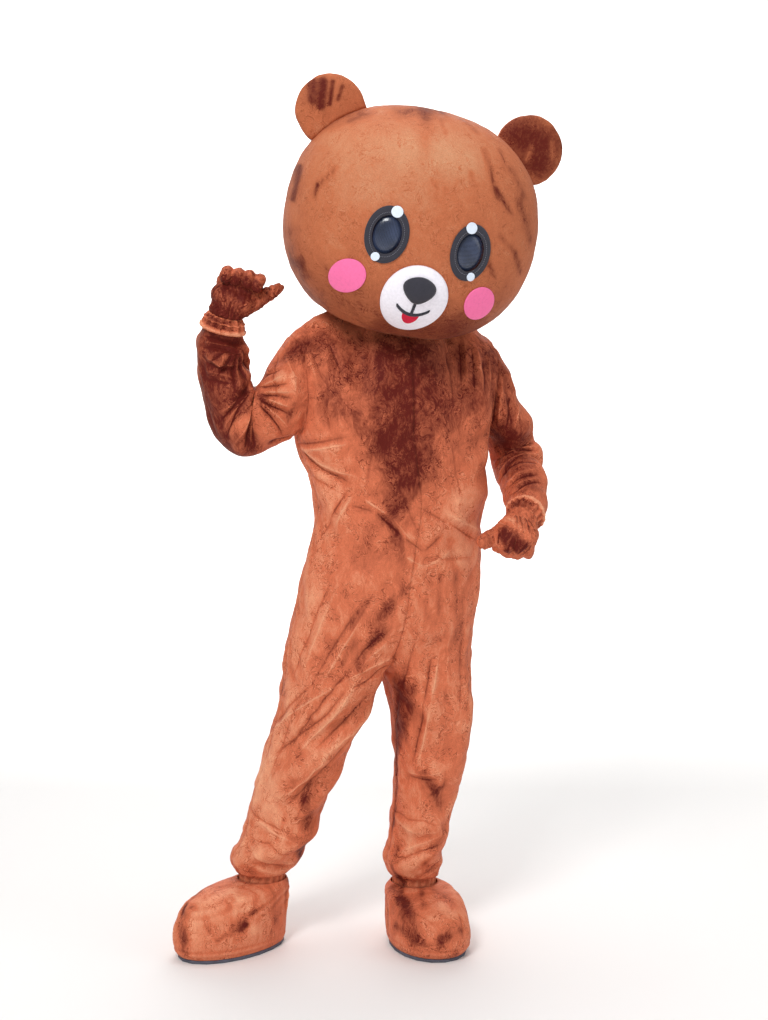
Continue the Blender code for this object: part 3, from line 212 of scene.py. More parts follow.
def noise_field(points, scale, seed, octaves=3, rough=0.55):
    """Smooth seeded noise from -1 to 1 at many points: sums of turned sine waves."""
    rng = np.random.default_rng(seed)
    total = np.zeros(len(points))
    weight = 1.0
    full = 0.0
    for octave in range(octaves):
        for _ in range(7):
            way = unit(rng.normal(size=3)) * scale * 2**octave * rng.uniform(0.7, 1.3)
            total += weight * np.sin(points @ way * 2 * math.pi + rng.uniform(0, 2 * math.pi))
        full += weight * 2.2
        weight *= rough
    return total / full


def new_object(name, source):
    """A piece from a bmesh or a mesh, linked to the scene, at the origin and smooth-shaded."""
    if isinstance(source, bmesh.types.BMesh):
        mesh = bpy.data.meshes.new(name)
        source.to_mesh(mesh)
        source.free()
    else:
        mesh = source
        mesh.name = name
    mesh.shade_smooth()
    made = bpy.data.objects.new(name, mesh)
    bpy.context.scene.collection.objects.link(made)
    return made


def applied(obj):
    """The object's mesh with its modifiers applied; the object itself is removed."""
    graph = bpy.context.evaluated_depsgraph_get()
    mesh = bpy.data.meshes.new_from_object(obj.evaluated_get(graph))
    name = obj.name
    bpy.data.objects.remove(obj)
    mesh.name = name
    return mesh


def modifier(obj, kind, **settings):
    made = obj.modifiers.new(kind.lower(), kind)
    set_all(made, settings)
    return made


def rounded(obj, levels):
    return modifier(obj, "SUBSURF", levels=levels, render_levels=levels)


def walled(obj, thickness):
    """Gives a sheet its thickness, inwards from the face that shows."""
    return modifier(obj, "SOLIDIFY", thickness=thickness, offset=-1, use_even_offset=False)


def finished(obj, material, slot, *nodes):
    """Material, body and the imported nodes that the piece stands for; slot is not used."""
    obj.data.materials.clear()
    obj.data.materials.append(material)
    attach(obj, BODY)
    if nodes:
        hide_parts(*nodes)
    return obj


# Materials -----------------------------------------------------------------------------------

RIB_PITCH = 3.2  # millimetres from rib to rib of tape and thread
WAVE_BANDS = 3.15  # bands that a wave texture draws in one unit of its scale

def add(tree, kind, links=None, **settings):
    """Adds a shader node, gives it its settings and sets or links its sockets."""
    made = tree.nodes.new("ShaderNode" + kind)
    set_all(made, settings)
    for socket, value in (links or {}).items():
        target = made.inputs[socket]
        if isinstance(value, bpy.types.NodeSocket):
            tree.links.new(value, target)
        else:
            target.default_value = value
    return made


def per_metre(millimetres):
    """The scale of a pattern whose real size is given in millimetres."""
    return 1000 / millimetres


def started(name, roughness, **sockets):
    """A material with its shader and the piece's own coordinates."""
    made = bpy.data.materials.get(name)
    if made:
        return None, made, None, None
    made = bpy.data.materials.new(name)
    made.use_nodes = True
    tree = made.node_tree
    shader = tree.nodes["Principled BSDF"]
    shader.inputs["Roughness"].default_value = roughness
    for socket, value in sockets.items():
        shader.inputs[socket.replace("_", " ")].default_value = value
    return tree, made, shader, add(tree, "TexCoord").outputs["Object"]


def noise_node(tree, where, millimetres, detail=2.0, roughness=0.5, distortion=0.0):
    links = {"Vector": where, "Scale": per_metre(millimetres), "Detail": detail,
             "Roughness": roughness, "Distortion": distortion}
    return add(tree, "TexNoise", links).outputs["Fac"]


def ramp(tree, value, low, high, to_low=0.0, to_high=1.0, kind="SMOOTHSTEP"):
    links = {"Value": value, "From Min": low, "From Max": high, "To Min": to_low, "To Max": to_high}
    return add(tree, "MapRange", links, interpolation_type=kind).outputs["Result"]


def maths(tree, operation, a, b=0.0):
    return add(tree, "Math", {0: a, 1: b}, operation=operation).outputs[0]


def mixed(tree, share, a, b, blend="MIX"):
    """Two colours mixed: the colour sockets of a Mix node are 6 and 7, its colour output is 2."""
    links = {0: share, 6: a, 7: b}
    return add(tree, "Mix", links, data_type="RGBA", blend_type=blend).outputs[2]


def tinted(tree, shader, tone, *shades):
    """The shader's colour: the tone times each shade."""
    for shade in shades:
        tone = mixed(tree, 1.0, tone, shade, "MULTIPLY")
    tree.links.new(tone, shader.inputs["Base Color"])


def bumped(tree, shader, *layers):
    """Bump from layers of (height, strength, distance in metres), the first one deepest."""
    normal = None
    for height, strength, distance in layers:
        links = {"Height": height, "Strength": strength, "Distance": distance}
        if normal:
            links["Normal"] = normal
        normal = add(tree, "Bump", links).outputs["Normal"]
    tree.links.new(normal, shader.inputs["Normal"])


def attribute(tree, name):
    return add(tree, "Attribute", attribute_name=name).outputs["Fac"]


# The layers that hold the crisp lines along the folds: the distance to a line and its strength.
# The velvet paints shade along a trough and a highlight along a crest.
LINES = {"trough": "trough_deep", "crest": "crest_high"}


def fold_line(tree, kind):
    """A crisp line where the stored distance passes through zero, as painted shade or highlight."""
    away = maths(tree, "ABSOLUTE", attribute(tree, kind))
    return maths(tree, "MULTIPLY", ramp(tree, away, 0.42, 0.02), attribute(tree, LINES[kind]))


def velvet(name, light, dark, glow, patchy=1.0, streak=0.36):
    """Polyester velvet with a crushed, brushed pile.

    The pile is warm and even where it lies to the light and a deep red-brown where it was brushed
    back;
    fine streaks and thin creases run all over. Painted shade darkens the creases, the troughs and
    hollows of the folds and the edges that turn away; painted highlights make it pale on the ridges
    and crests of the folds, beside each crease and where strokes lay the pile to the light.
    """
    tree, made, shader, where = started(
        name, 0.65, Sheen_Weight=0.10, Sheen_Roughness=0.4, Sheen_Tint=(1.0, 0.45, 0.25, 1.0),
        Specular_IOR_Level=0.12)
    if not tree:
        return made

    def vector(operation, links):
        return add(tree, "VectorMath", links, operation=operation).outputs["Vector"]

    def times(a, b):
        return maths(tree, "MULTIPLY", a, b)

    def less(a, b):
        return maths(tree, "SUBTRACT", a, b)

    warp = add(tree, "TexNoise", {"Vector": where, "Scale": per_metre(60.0), "Detail": 2.0})
    swirl = vector("SUBTRACT", {0: warp.outputs["Color"], 1: (0.5, 0.5, 0.5)})
    bent = vector("ADD", {0: where, 1: vector("SCALE", {0: swirl, "Scale": 0.05})})
    drawn = add(tree, "Mapping", {"Vector": bent, "Scale": (1.0, 1.0, streak)}).outputs["Vector"]
    # The layer holds brushed pile and painted shade above zero, painted highlight below it.
    nap_and_shading = attribute(tree, "nap_and_shading")
    # Facing, for painted shade where the surface turns away at an edge.
    edge = add(tree, "LayerWeight", {"Blend": 0.5}).outputs["Facing"]
    fine = noise_node(tree, drawn, 5.0, 5.0, 0.75)
    middle = noise_node(tree, drawn, 24.0, 5.0, 0.72, 0.4)
    drift = noise_node(tree, bent, 150.0, 1.0)
    # Painted shade along the troughs of the folds and painted highlight along their crests.
    trough, crest = fold_line(tree, "trough"), fold_line(tree, "crest")
    # Thin crease lines all over: painted shade in each crease and a painted highlight beside it.
    lines = less(noise_node(tree, bent, 24.0, 3.0, 0.58, 1.4), 0.5)
    some = ramp(tree, noise_node(tree, where, 42.0, 2.0), 0.44, 0.56)
    creased = times(ramp(tree, maths(tree, "ABSOLUTE", lines), 0.026, 0.004), some)
    beside = maths(tree, "ABSOLUTE", less(lines, 0.042))
    lit = times(ramp(tree, beside, 0.026, 0.004), some)
    rough = maths(tree, "ADD", times(ramp(tree, nap_and_shading, 0.0, 0.8), 0.75), 0.50)
    torn = times(less(middle, 0.5), 1.3)
    brushed = ramp(tree, maths(tree, "ADD", nap_and_shading, torn), 0.36, 0.58)
    brushed = times(brushed, ramp(tree, nap_and_shading, 0.08, 0.40))
    level = times(nap_and_shading, 0.72)
    for field, share in (
        (brushed, 0.20),
        # painted highlight on ridges of the folds and painted shade in their hollows
        (attribute(tree, "ridge"), -0.30),
        # painted shade at edges that turn away
        (ramp(tree, edge, 0.72, 1.0), 0.30),
        (trough, 0.50),
        (crest, -0.34),
        # painted shade in the thin creases and a painted highlight beside them
        (creased, 0.56 * patchy),
        (lit, -0.22 * patchy),
        (less(drift, 0.5), 0.30 * patchy),
        (less(middle, 0.48), 0.95 * patchy),
        (times(less(fine, 0.5), rough), 1.20 * patchy),
    ):
        level = maths(tree, "ADD", level, times(field, share))
    # Above zero the brushed-back tone comes in: brushed pile, painted shade and random dark tone.
    tone = mixed(tree, ramp(tree, level, 0.0, 1.0, kind="LINEAR"), light, dark)
    # Below zero the lit tone comes in: painted highlight and random pale tone.
    tone = mixed(tree, ramp(tree, level, 0.0, -0.60, kind="LINEAR"), tone, glow)
    grain = noise_node(tree, where, 2.0, 3.0, 0.7)
    tinted(tree, shader, tone, ramp(tree, grain, 0.28, 0.72, 0.86, 1.12))
    bumped(tree, shader, (less(crest, trough), 0.6, 0.0030), (middle, 0.40 * patchy, 0.004),
           (creased, -0.6 * patchy, 0.0018), (fine, 0.35, 0.0012), (grain, 0.30, 0.0006))
    return made


def felt(name, tone, roughness=0.9):
    """Pressed polyester felt: a matt mat of fibres, faintly mottled, with a slight fuzz."""
    tree, made, shader, where = started(name, roughness, Sheen_Weight=0.18, Sheen_Roughness=0.5,
                                        Specular_IOR_Level=0.15)
    if not tree:
        return made
    mottle = ramp(tree, noise_node(tree, where, 6.0, 4.0, 0.6), 0.25, 0.75, 0.94, 1.05)
    tinted(tree, shader, tone, mottle)
    bumped(tree, shader, (noise_node(tree, where, 3.0, 3.0, 0.7), 0.4, 0.0006),
           (noise_node(tree, where, 0.8, 2.0, 0.7), 0.3, 0.0003))
    return made


def lens_mesh(name, tone):
    """Vinyl-coated mesh: a tight net of round holes in a dark, slightly glossy film."""
    tree, made, shader, where = started(name, 0.22, Specular_IOR_Level=0.5, Coat_Weight=0.25,
                                        Coat_Roughness=0.12)
    if not tree:
        return made
    # A real net of this kind has finer holes; 2.2 mm apart is as fine as shows.
    holes = add(tree, "TexVoronoi", {"Vector": where, "Scale": per_metre(2.2), "Randomness": 0.25})
    # Painted shade in the holes, for the dark inside of the head seen through them.
    net = ramp(tree, holes.outputs["Distance"], 0.22, 0.42, 0.45, 1.15)
    # Broad patches, lighter and darker: painted reflection over the mesh.
    fade = ramp(tree, noise_node(tree, where, 55.0, 1.0), 0.35, 0.7, 0.7, 1.5)
    tinted(tree, shader, tone, net, fade)
    bumped(tree, shader, (holes.outputs["Distance"], 0.4, 0.0004))
    return made


def foam_sole(name, tone):
    """EVA foam sheet: closed cells, matt, scuffed paler and darker in patches."""
    tree, made, shader, where = started(name, 0.82, Specular_IOR_Level=0.3)
    if not tree:
        return made
    scuffs = ramp(tree, noise_node(tree, where, 30.0, 5.0, 0.65), 0.35, 0.7, 0.8, 1.25)
    tinted(tree, shader, tone, scuffs)
    cells = add(tree, "TexVoronoi", {"Vector": where, "Scale": per_metre(2.0)}).outputs["Distance"]
    bumped(tree, shader, (cells, 0.3, 0.0004))
    return made


def woven(name, tone):
    """Polyester thread or tape: fine crosswise ribs with a soft shine."""
    tree, made, shader, where = started(name, 0.6, Sheen_Weight=0.1, Specular_IOR_Level=0.35)
    if not tree:
        return made
    links = {"Vector": where, "Scale": per_metre(RIB_PITCH) / WAVE_BANDS, "Distortion": 0.4}
    ribs = add(tree, "TexWave", links, bands_direction="Z").outputs["Fac"]
    tinted(tree, shader, tone, ramp(tree, ribs, 0.0, 1.0, 0.75, 1.1))
    bumped(tree, shader, (ribs, 0.5, 0.0004))
    return made


def brass(name, tone):
    """Satin brass: drawn wire and a stamped slider, a little tarnished in patches."""
    tree, made, shader, where = started(name, 0.3, Metallic=1.0)
    if not tree:
        return made
    tarnish = ramp(tree, noise_node(tree, where, 4.0, 3.0), 0.3, 0.7, 0.75, 1.1)
    tinted(tree, shader, tone, tarnish)
    bumped(tree, shader, (noise_node(tree, where, 0.6, 2.0), 0.15, 0.0002))
    return made


def suit_velvet():
    tones = colours()
    return velvet("crushed velvet", tones.velvet, tones.velvet_dark, tones.velvet_glow)


def head_velvet():
    tones = colours()
    return velvet("brushed velvet", tones.head, tones.head_dark, tones.head_glow,
                  patchy=0.6, streak=0.7)


# Strokes that brush the pile back or paint shade, as between the legs, and those below zero that
# paint highlights where the pile lies to the light.
NAP_AND_SHADING = runs(
    "x0 y0 z0 x1 y1 z1 width strength",
    (-60, -110, -50, 60, -120, -190, 105, 0.44),
    (-385, -20, 10, -395, 20, -210, 75, 0.72),
    (-350, 20, -240, -260, 0, -120, 60, 0.56),
    (215, 0, -60, 280, -60, -330, 80, 0.20),
    (-19, -113, -40, -35, -138, -288, 50, 0.7),
    (-67, -114, -61, -74, -134, -225, 36, 0.45),
    (43, -110, -39, 58, -132, -149, 45, 0.5),
    (-143, -84, -40, -179, -103, -145, 45, 0.5),
    (124, -83, -38, 157, -115, -141, 45, 0.55),
    (-191, -61, -10, -234, -56, -40, 35, 0.55),
    (-141, -122, -182, -99, -130, -237, 30, 0.35),
    (-13, -139, -288, -43, -134, -351, 40, 0.5),
    (-55, -132, -385, -44, -137, -461, 26, 0.55),
    (-97, -121, -410, -108, -117, -453, 18, 0.35),
    (28, -138, -289, 82, -131, -324, 30, 0.25),
    (-31, -139, -538, -99, -129, -605, 14, 0.55),
    (-112, -126, -562, -143, -114, -617, 10, 0.5),
    (-57, -137, -580, -91, -119, -653, 14, 0.5),
    (-86, -129, -631, -125, -112, -708, 16, 0.6),
    (-129, -112, -648, -158, -105, -699, 8, 0.45),
    (-181, -94, -648, -205, -85, -700, 10, 0.3),
    (54, -133, -514, 50, -130, -594, 7, 0.4),
    (93, -122, -506, 104, -96, -662, 9, 0.45),
    (118, -108, -552, 118, -92, -716, 7, 0.4),
    (83, -102, -682, 80, -105, -791, 6, 0.35),
    (150, -71, -646, 138, -90, -775, 6, 0.3),
    (20, -137, -566, 18, -120, -655, 8, 0.35),
    (-10, -60, -758, 4, -3, -898, 28, 0.85),
    (7, -89, -767, 7, -41, -864, 18, 0.6),
    (8, 13, -933, 5, 24, -1103, 12, 0.7),
    (42, -71, -954, 85, -58, -1032, 16, 0.7),
    (78, -64, -999, 92, -76, -975, 8, 0.5),
    (39, -112, -787, 39, -79, -881, 6, 0.4),
    (-216, -32, -995, -202, 46, -1135, 24, 0.7),
    (-231, -5, -1092, -205, 58, -1156, 12, 0.5),
    (-316, 48, -1174, -222, 87, -1212, 14, 0.55),
    (-238, -60, -779, -251, -44, -816, 5, 0.4),
    (-209, -96, -800, -236, -55, -875, 5, 0.35),
    (-271, -20, -914, -285, -6, -951, 5, 0.35),
    (-300, 21, -1009, -313, 56, -1065, 10, 0.35),
    (-259, -7, -1050, -274, 2, -1095, 5, 0.4),
    (102, -41, -1100, 56, -37, -1165, 10, 0.7),
    (8, -1, -1143, 23, 14, -1221, 16, 0.65),
    (76, -21, -1194, 115, 14, -1198, 8, 0.55),
    (-418, -49, -12, -399, 13, -208, 45, 0.6),
    (-372, -54, -58, -365, -58, -145, 25, 0.65),
    (-407, -73, 3, -366, -64, -8, 20, 0.6),
    (-388, 13, -225, -357, 8, -251, 30, 0.35),
    (-317, -63, -136, -292, -42, -225, 11, 0.75),
    (-267, -34, -48, -231, -48, -27, 30, 0.45),
    (-263, -62, -183, -255, -80, -149, 10, 0.5),
    (-349, -44, -224, -309, 7, -252, 14, 0.55),
    (206, -68, -54, 254, -38, -226, 45, 0.55),
    (266, -43, -230, 260, -142, -327, 36, 0.65),
    (234, -37, -208, 241, -57, -296, 20, 0.4),
    (-400, -82, 85, -339, -93, 85, 14, 0.6),
    (-382, -93, 105, -372, -89, 73, 10, 0.5),
    (-420, -44, 74, -405, -67, 41, 12, 0.35),
    (166, -216, -415, 191, -242, -447, 16, 0.8),
    (218, -224, -411, 200, -242, -460, 10, 0.45),
    (-4, -58, -1239, -5, -145, -1301, 22, 0.7),
    (74, -27, -1228, 91, -92, -1239, 16, 0.45),
    (73, -159, -1272, 38, -176, -1307, 14, 0.6),
    (52, -22, -1228, 27, -110, -1244, 10, 0.55),
    (-317, 12, -1221, -360, -12, -1294, 10, 0.5),
    (-280, 31, -1213, -265, 36, -1283, 16, 0.45),
    (-433, 2, -1250, -418, -15, -1290, 8, 0.35),
    (-371, 12, -1220, -389, -7, -1244, 8, 0.35),
    (97, -127, -325, 124, -108, -461, 45, -0.45),
    (-286, 53, -920, -251, -10, -1054, 40, -0.4),
    (-251, -31, -783, -304, 39, -995, 30, -0.3),
    (-183, -47, -439, -222, -55, -626, 45, -0.25),
    (-187, -58, -289, -158, -79, -352, 25, -0.3),
    (-157, -115, -774, -209, -67, -870, 18, -0.3),
    (64, -108, -790, 59, -87, -934, 14, -0.2),
    (24, -31, -1091, 24, -19, -1189, 16, -0.25),
    (-447, 29, -1235, -467, 2, -1294, 22, -0.35),
    (-261, -1, -31, -277, -81, -107, 16, -0.3),
    (-382, -39, -203, -358, -61, -182, 12, -0.35),
    (-6, -122, -653, 65, -106, -676, 16, -0.15),
    (166, -221, -452, 146, -198, -447, 10, -0.3),
    (-388, -68, 28, -425, -20, 42, 8, -0.35),
    (-454, 36, -1236, -477, 13, -1319, 13, 0.75),
    (-410, -17, -1295, -345, -7, -1270, 7, 0.95),
    (-434, -7, -1265, -426, -13, -1277, 5, 0.5),
    (-2, 12, -1231, -3, -116, -1257, 14, 0.55),
    (12, -162, -1306, 77, -173, -1333, 9, 0.6),
    (25, 8, -1224, -8, -54, -1239, 6, 0.5),
    (-407, 29, -1221, -361, 49, -1210, 14, -0.5),
    (-354, 8, -1221, -330, -1, -1287, 12, -0.45),
    (66, -106, -1241, 70, -167, -1281, 12, -0.5),
    (162, -220, -423, 170, -222, -457, 8, 1),
    (179, -237, -447, 196, -232, -469, 6, 0.6),
    (134, -205, -436, 150, -200, -454, 6, 0.35),
    (188, -197, -395, 212, -236, -427, 14, -0.45),
    (-381, -92, 97, -336, -76, 115, 10, 0.25),
    (-417, -58, 98, -406, -74, 97, 12, 0.15),
    (-300, 20, -986, -310, 35, -1155, 55, -0.3),
    (-415, -11, -1264, -303, 13, -1239, 45, -0.28),
    (-220, -41, -567, -249, -39, -782, 50, -0.14),
    (32, -43, -1022, 30, -30, -1160, 45, -0.2),
    (-462, 59, -1242, -474, 9, -1296, 12, 0.85),
    (-412, 106, -1220, -458, 63, -1237, 9, 0.45),
    (-378, -13, -1269, -304, 13, -1241, 8, 0.9),
    (-360, -11, -1281, -304, 11, -1262, 5, 0.7),
    (39, -174, -1297, 90, -164, -1284, 11, 0.6),
    (-26, -78, -1288, 2, -151, -1300, 11, 0.5),
    (-1, 9, -1181, 16, 9, -1210, 8, 0.6),
    (-5, -35, -798, 10, 20, -967, 12, 0.3),
    (-12, -96, -700, -4, -45, -796, 10, 0.3),
)
# The same on the front of the head, in its own frame: painted shade over the chin and lower sides,
# painted highlight over the forehead, and finger strokes in the pile.
HEAD_NAP_AND_SHADING = runs(
    "x0 z0 x1 z1 width strength",
    (-127, 122, 10, 152, 60, -0.22),
    (-190, -190, 190, -200, 62, 0.42),
    (-259, 66, -262, -5, 4, 0.95),
    (-201, 71, -230, 29, 4, 0.75),
    (-227, 30, -230, 9, 4, 0.7),
    (-40, 222, -42, 125, 14, 0.4),
    (-90, 210, -1, 232, 16, 0.5),
    (-9, 211, 0, 183, 4, 0.4),
    (83, 169, 118, 83, 5, 0.85),
    (122, 179, 135, 140, 4, 0.6),
    (118, 96, 156, 59, 6, 0.7),
    (151, 144, 186, 99, 10, 0.45),
    (172, 87, 223, 16, 12, 0.45),
    (143, 8, 186, -16, 6, 0.55),
    (129, -47, 152, -72, 5, 0.7),
    (193, -23, 216, -52, 8, 0.6),
    (54, 122, 66, 96, 3, 0.5),
    (-20, 85, -5, 69, 3, 0.45),
    (10, 76, 2, 50, 3, 0.35),
    (-256, -66, -233, -129, 14, 0.4),
    (-229, -127, -207, -151, 8, 0.45),
    (-180, -126, -162, -147, 5, 0.45),
    (-164, 199, -213, 154, 10, 0.4),
    (-144, 200, -182, 171, 8, 0.35),
    (40, 229, 68, 204, 6, 0.4),
    (-224, -116, -215, -135, 4, 0.5),
    (138, -173, 187, -116, 35, 0.35),
    (-33, -228, 106, -202, 30, 0.45),
    (-200, 129, -170, 33, 45, -0.3),
    (-90, 130, 52, 142, 45, -0.35),
    (-116, 45, -37, 42, 35, -0.2),
    (-191, -51, -160, -105, 20, -0.15),
)


NAP_AND_SHADING_RANGE = (-0.6, 1.1)


def run_distance(points, starts, ends):
    """The distance from each point to each straight run, one column for each run."""
    spans = ends - starts
    t = np.einsum("pkj,kj->pk", points[:, None] - starts, spans) / (spans * spans).sum(1)
    nearest = starts + np.clip(t, 0, 1)[..., None] * spans
    return np.linalg.norm(points[:, None] - nearest, axis=-1)


def set_layer(mesh, name, values):
    """Stores one number for each point of the mesh, which its material reads."""
    layer = mesh.attributes.get(name) or mesh.attributes.new(name, "FLOAT", "POINT")
    layer.data.foreach_set("value", values)


def set_layers(mesh, layers):
    for name, values in layers.items():
        set_layer(mesh, name, values)


def nap_and_shading_level(points, strokes, axes="xyz"):
    """How far the strokes brush the pile back or paint shade at each point, or paint a highlight
    below zero.
    """
    starts, ends = (np.array([[s[a + end] for a in axes] for s in strokes]) for end in "01")
    width, strength = (np.array([s[name] for s in strokes]) for name in ("width", "strength"))
    return (strength * np.exp(-((run_distance(points, starts, ends) / width) ** 2))).sum(1)


def store_nap_and_shading(mesh, *levels):
    """Stores the summed levels of brushed pile, painted shade and painted highlight, by default the
    suit's strokes.
    """
    level = sum(levels) if levels else nap_and_shading_level(points_of(mesh), NAP_AND_SHADING)
    set_layer(mesh, "nap_and_shading", np.clip(level, *NAP_AND_SHADING_RANGE))


def averaged(mesh, points, rounds):
    """The points drawn that often half-way to the middle of their neighbours."""
    ends = np.empty(len(mesh.edges) * 2, int)
    mesh.edges.foreach_get("vertices", ends)
    a, b = ends.reshape(-1, 2).T
    count = np.bincount(a, minlength=len(points)) + np.bincount(b, minlength=len(points))
    smooth = points.copy()
    for _ in range(rounds):
        for axis in range(3):
            total = (np.bincount(a, smooth[b, axis], len(points))
                     + np.bincount(b, smooth[a, axis], len(points)))
            smooth[:, axis] = 0.5 * smooth[:, axis] + 0.5 * total / count
    return smooth


def mark_ridges(mesh, rounds=14, full=0.0028):
    """Stores how far each point stands above (1) or below (-1) the smoothed-out surface, which the
    velvet paints as highlight and shade.
    """
    points = points_of(mesh)
    raised = ((points - averaged(mesh, points, rounds)) * normals_of(mesh)).sum(1)
    set_layer(mesh, "ridge", np.clip(raised / full, -1, 1))


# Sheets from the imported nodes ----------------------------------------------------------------


def islands(bm):
    """The faces of the mesh in groups that hang together."""
    left = set(bm.faces)
    groups = []
    while left:
        wave = [left.pop()]
        group = list(wave)
        while wave:
            near = {f for g in wave for e in g.edges for f in e.link_faces} & left
            left -= near
            wave = list(near)
            group += wave
        groups.append(group)
    return groups


def outer_sheet(node):
    """The outer skin of a node that is a thin wall, as a bmesh of four-sided faces."""
    bm = opened(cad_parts[node].data)
    bmesh.ops.remove_doubles(bm, verts=bm.verts, dist=MERGE)
    rim = RIM_BAND * sizes().cloth
    band = [f for f in bm.faces if min(e.calc_length() for e in f.edges) < rim]
    bmesh.ops.delete(bm, geom=band, context="FACES")
    skins = sorted(islands(bm), key=lambda g: sum(f.calc_area() for f in g))
    bmesh.ops.delete(bm, geom=[f for g in skins[:-1] for f in g], context="FACES")
    flat = math.radians(60)
    bmesh.ops.join_triangles(bm, faces=bm.faces, angle_face_threshold=flat,
                             angle_shape_threshold=flat)
    return bm


def sewn(nodes):
    """The outer skins of several nodes as one mesh, joined along their seams; the material index
    of a face is the place of its node in the list."""
    whole = bmesh.new()
    for index, node in enumerate(nodes):
        part = outer_sheet(node)
        for face in part.faces:
            face.material_index = index
        mesh = bpy.data.meshes.new(node)
        part.to_mesh(mesh)
        part.free()
        whole.from_mesh(mesh)
        bpy.data.meshes.remove(mesh)
    edge = [v for v in whole.verts if v.is_boundary]
    bmesh.ops.remove_doubles(whole, verts=edge, dist=SEAM_REACH)
    return whole


def refined(obj, levels):
    """Subdivides the object's mesh so that the smooth surface still passes through its points."""
    aim = points_of(obj.data)
    held = aim.copy()
    rounded(obj, levels)
    for _ in range(REFINE_ROUNDS):
        graph = bpy.context.evaluated_depsgraph_get()
        mesh = bpy.data.meshes.new_from_object(obj.evaluated_get(graph))
        reached = points_of(mesh)[: len(aim)]
        bpy.data.meshes.remove(mesh)
        held += aim - reached
        put_points(obj.data, held)
    return applied(obj)


def seam_distances(mesh, points):
    """Each point's distance to the nearest seam or hem, and to the nearest hem alone."""
    bm = opened(mesh)
    seams = [e for e in bm.edges
             if e.is_boundary or len({f.material_index for f in e.link_faces}) > 1]
    spots = [[tuple(v.co) for v in e.verts] for e in seams]
    open_edge = np.array([e.is_boundary for e in seams])
    bm.free()
    spots = np.array(spots)
    spots = np.stack([spots[:, 0], spots.mean(1)], 1)
    near = nearest_distance(spots.reshape(-1, 3), points)
    return near, nearest_distance(spots[open_edge].reshape(-1, 3), points)


def nearest_distance(targets, points):
    tree = KDTree(len(targets))
    for i, p in enumerate(targets):
        tree.insert(p, i)
    tree.balance()
    return np.array([tree.find(p)[2] for p in points])


def crumpled(obj, hold, growth, steps):
    """Lets cloth that is longer than its form settle into folds, held loosely to the form.

    hold is how firmly each point keeps its place, from 0 to 1; growth is the spare share of cloth.
    """
    group = obj.vertex_groups.new(name="hold")
    hold = np.round(hold, 2)
    for level in np.unique(hold):
        group.add([int(i) for i in np.flatnonzero(hold == level)], float(level), "REPLACE")
    cloth = modifier(obj, "CLOTH")
    settings = dict(
        vertex_group_mass="hold", shrink_min=-growth, pin_stiffness=1.0, quality=5, mass=0.3,
        tension_stiffness=15, compression_stiffness=15, shear_stiffness=8, bending_stiffness=0.02,
        air_damping=1.0)
    set_all(cloth.settings, settings)
    cloth.settings.effector_weights.gravity = 0.35
    cloth.collision_settings.use_collision = False
    cloth.collision_settings.use_self_collision = False
    cloth.point_cache.frame_start = 1
    cloth.point_cache.frame_end = steps
    for frame_number in range(1, steps + 1):
        bpy.context.scene.frame_set(frame_number)
    mesh = applied(obj)
    bpy.context.scene.frame_set(1)
    return mesh


# Suit ----------------------------------------------------------------------------------------

SUIT_NODES = ("suit_front_left", "suit_front_right", "suit_back_left", "suit_back_right",
              "sleeve_left", "sleeve_right")
LINE_FADE = (0.95, 0.50)  # distances in widths between which a fold's crisp line comes in
DEPTH_FADE = (0.040, 0.020)  # distances through the cloth between which a fold comes in
FOLD_PART = 0.022  # length in which a fold is laid over the cloth
FOLD_ROUNDS = 6  # how often its points are drawn straight
# How crisply a fold turns: 2 is a round roll, 1 a knife edge.
FOLD_SHARP = 1.4
CROTCH = -0.745  # height at which the legs part
PUCKER = 0.0012  # height of the puckers beside a seam
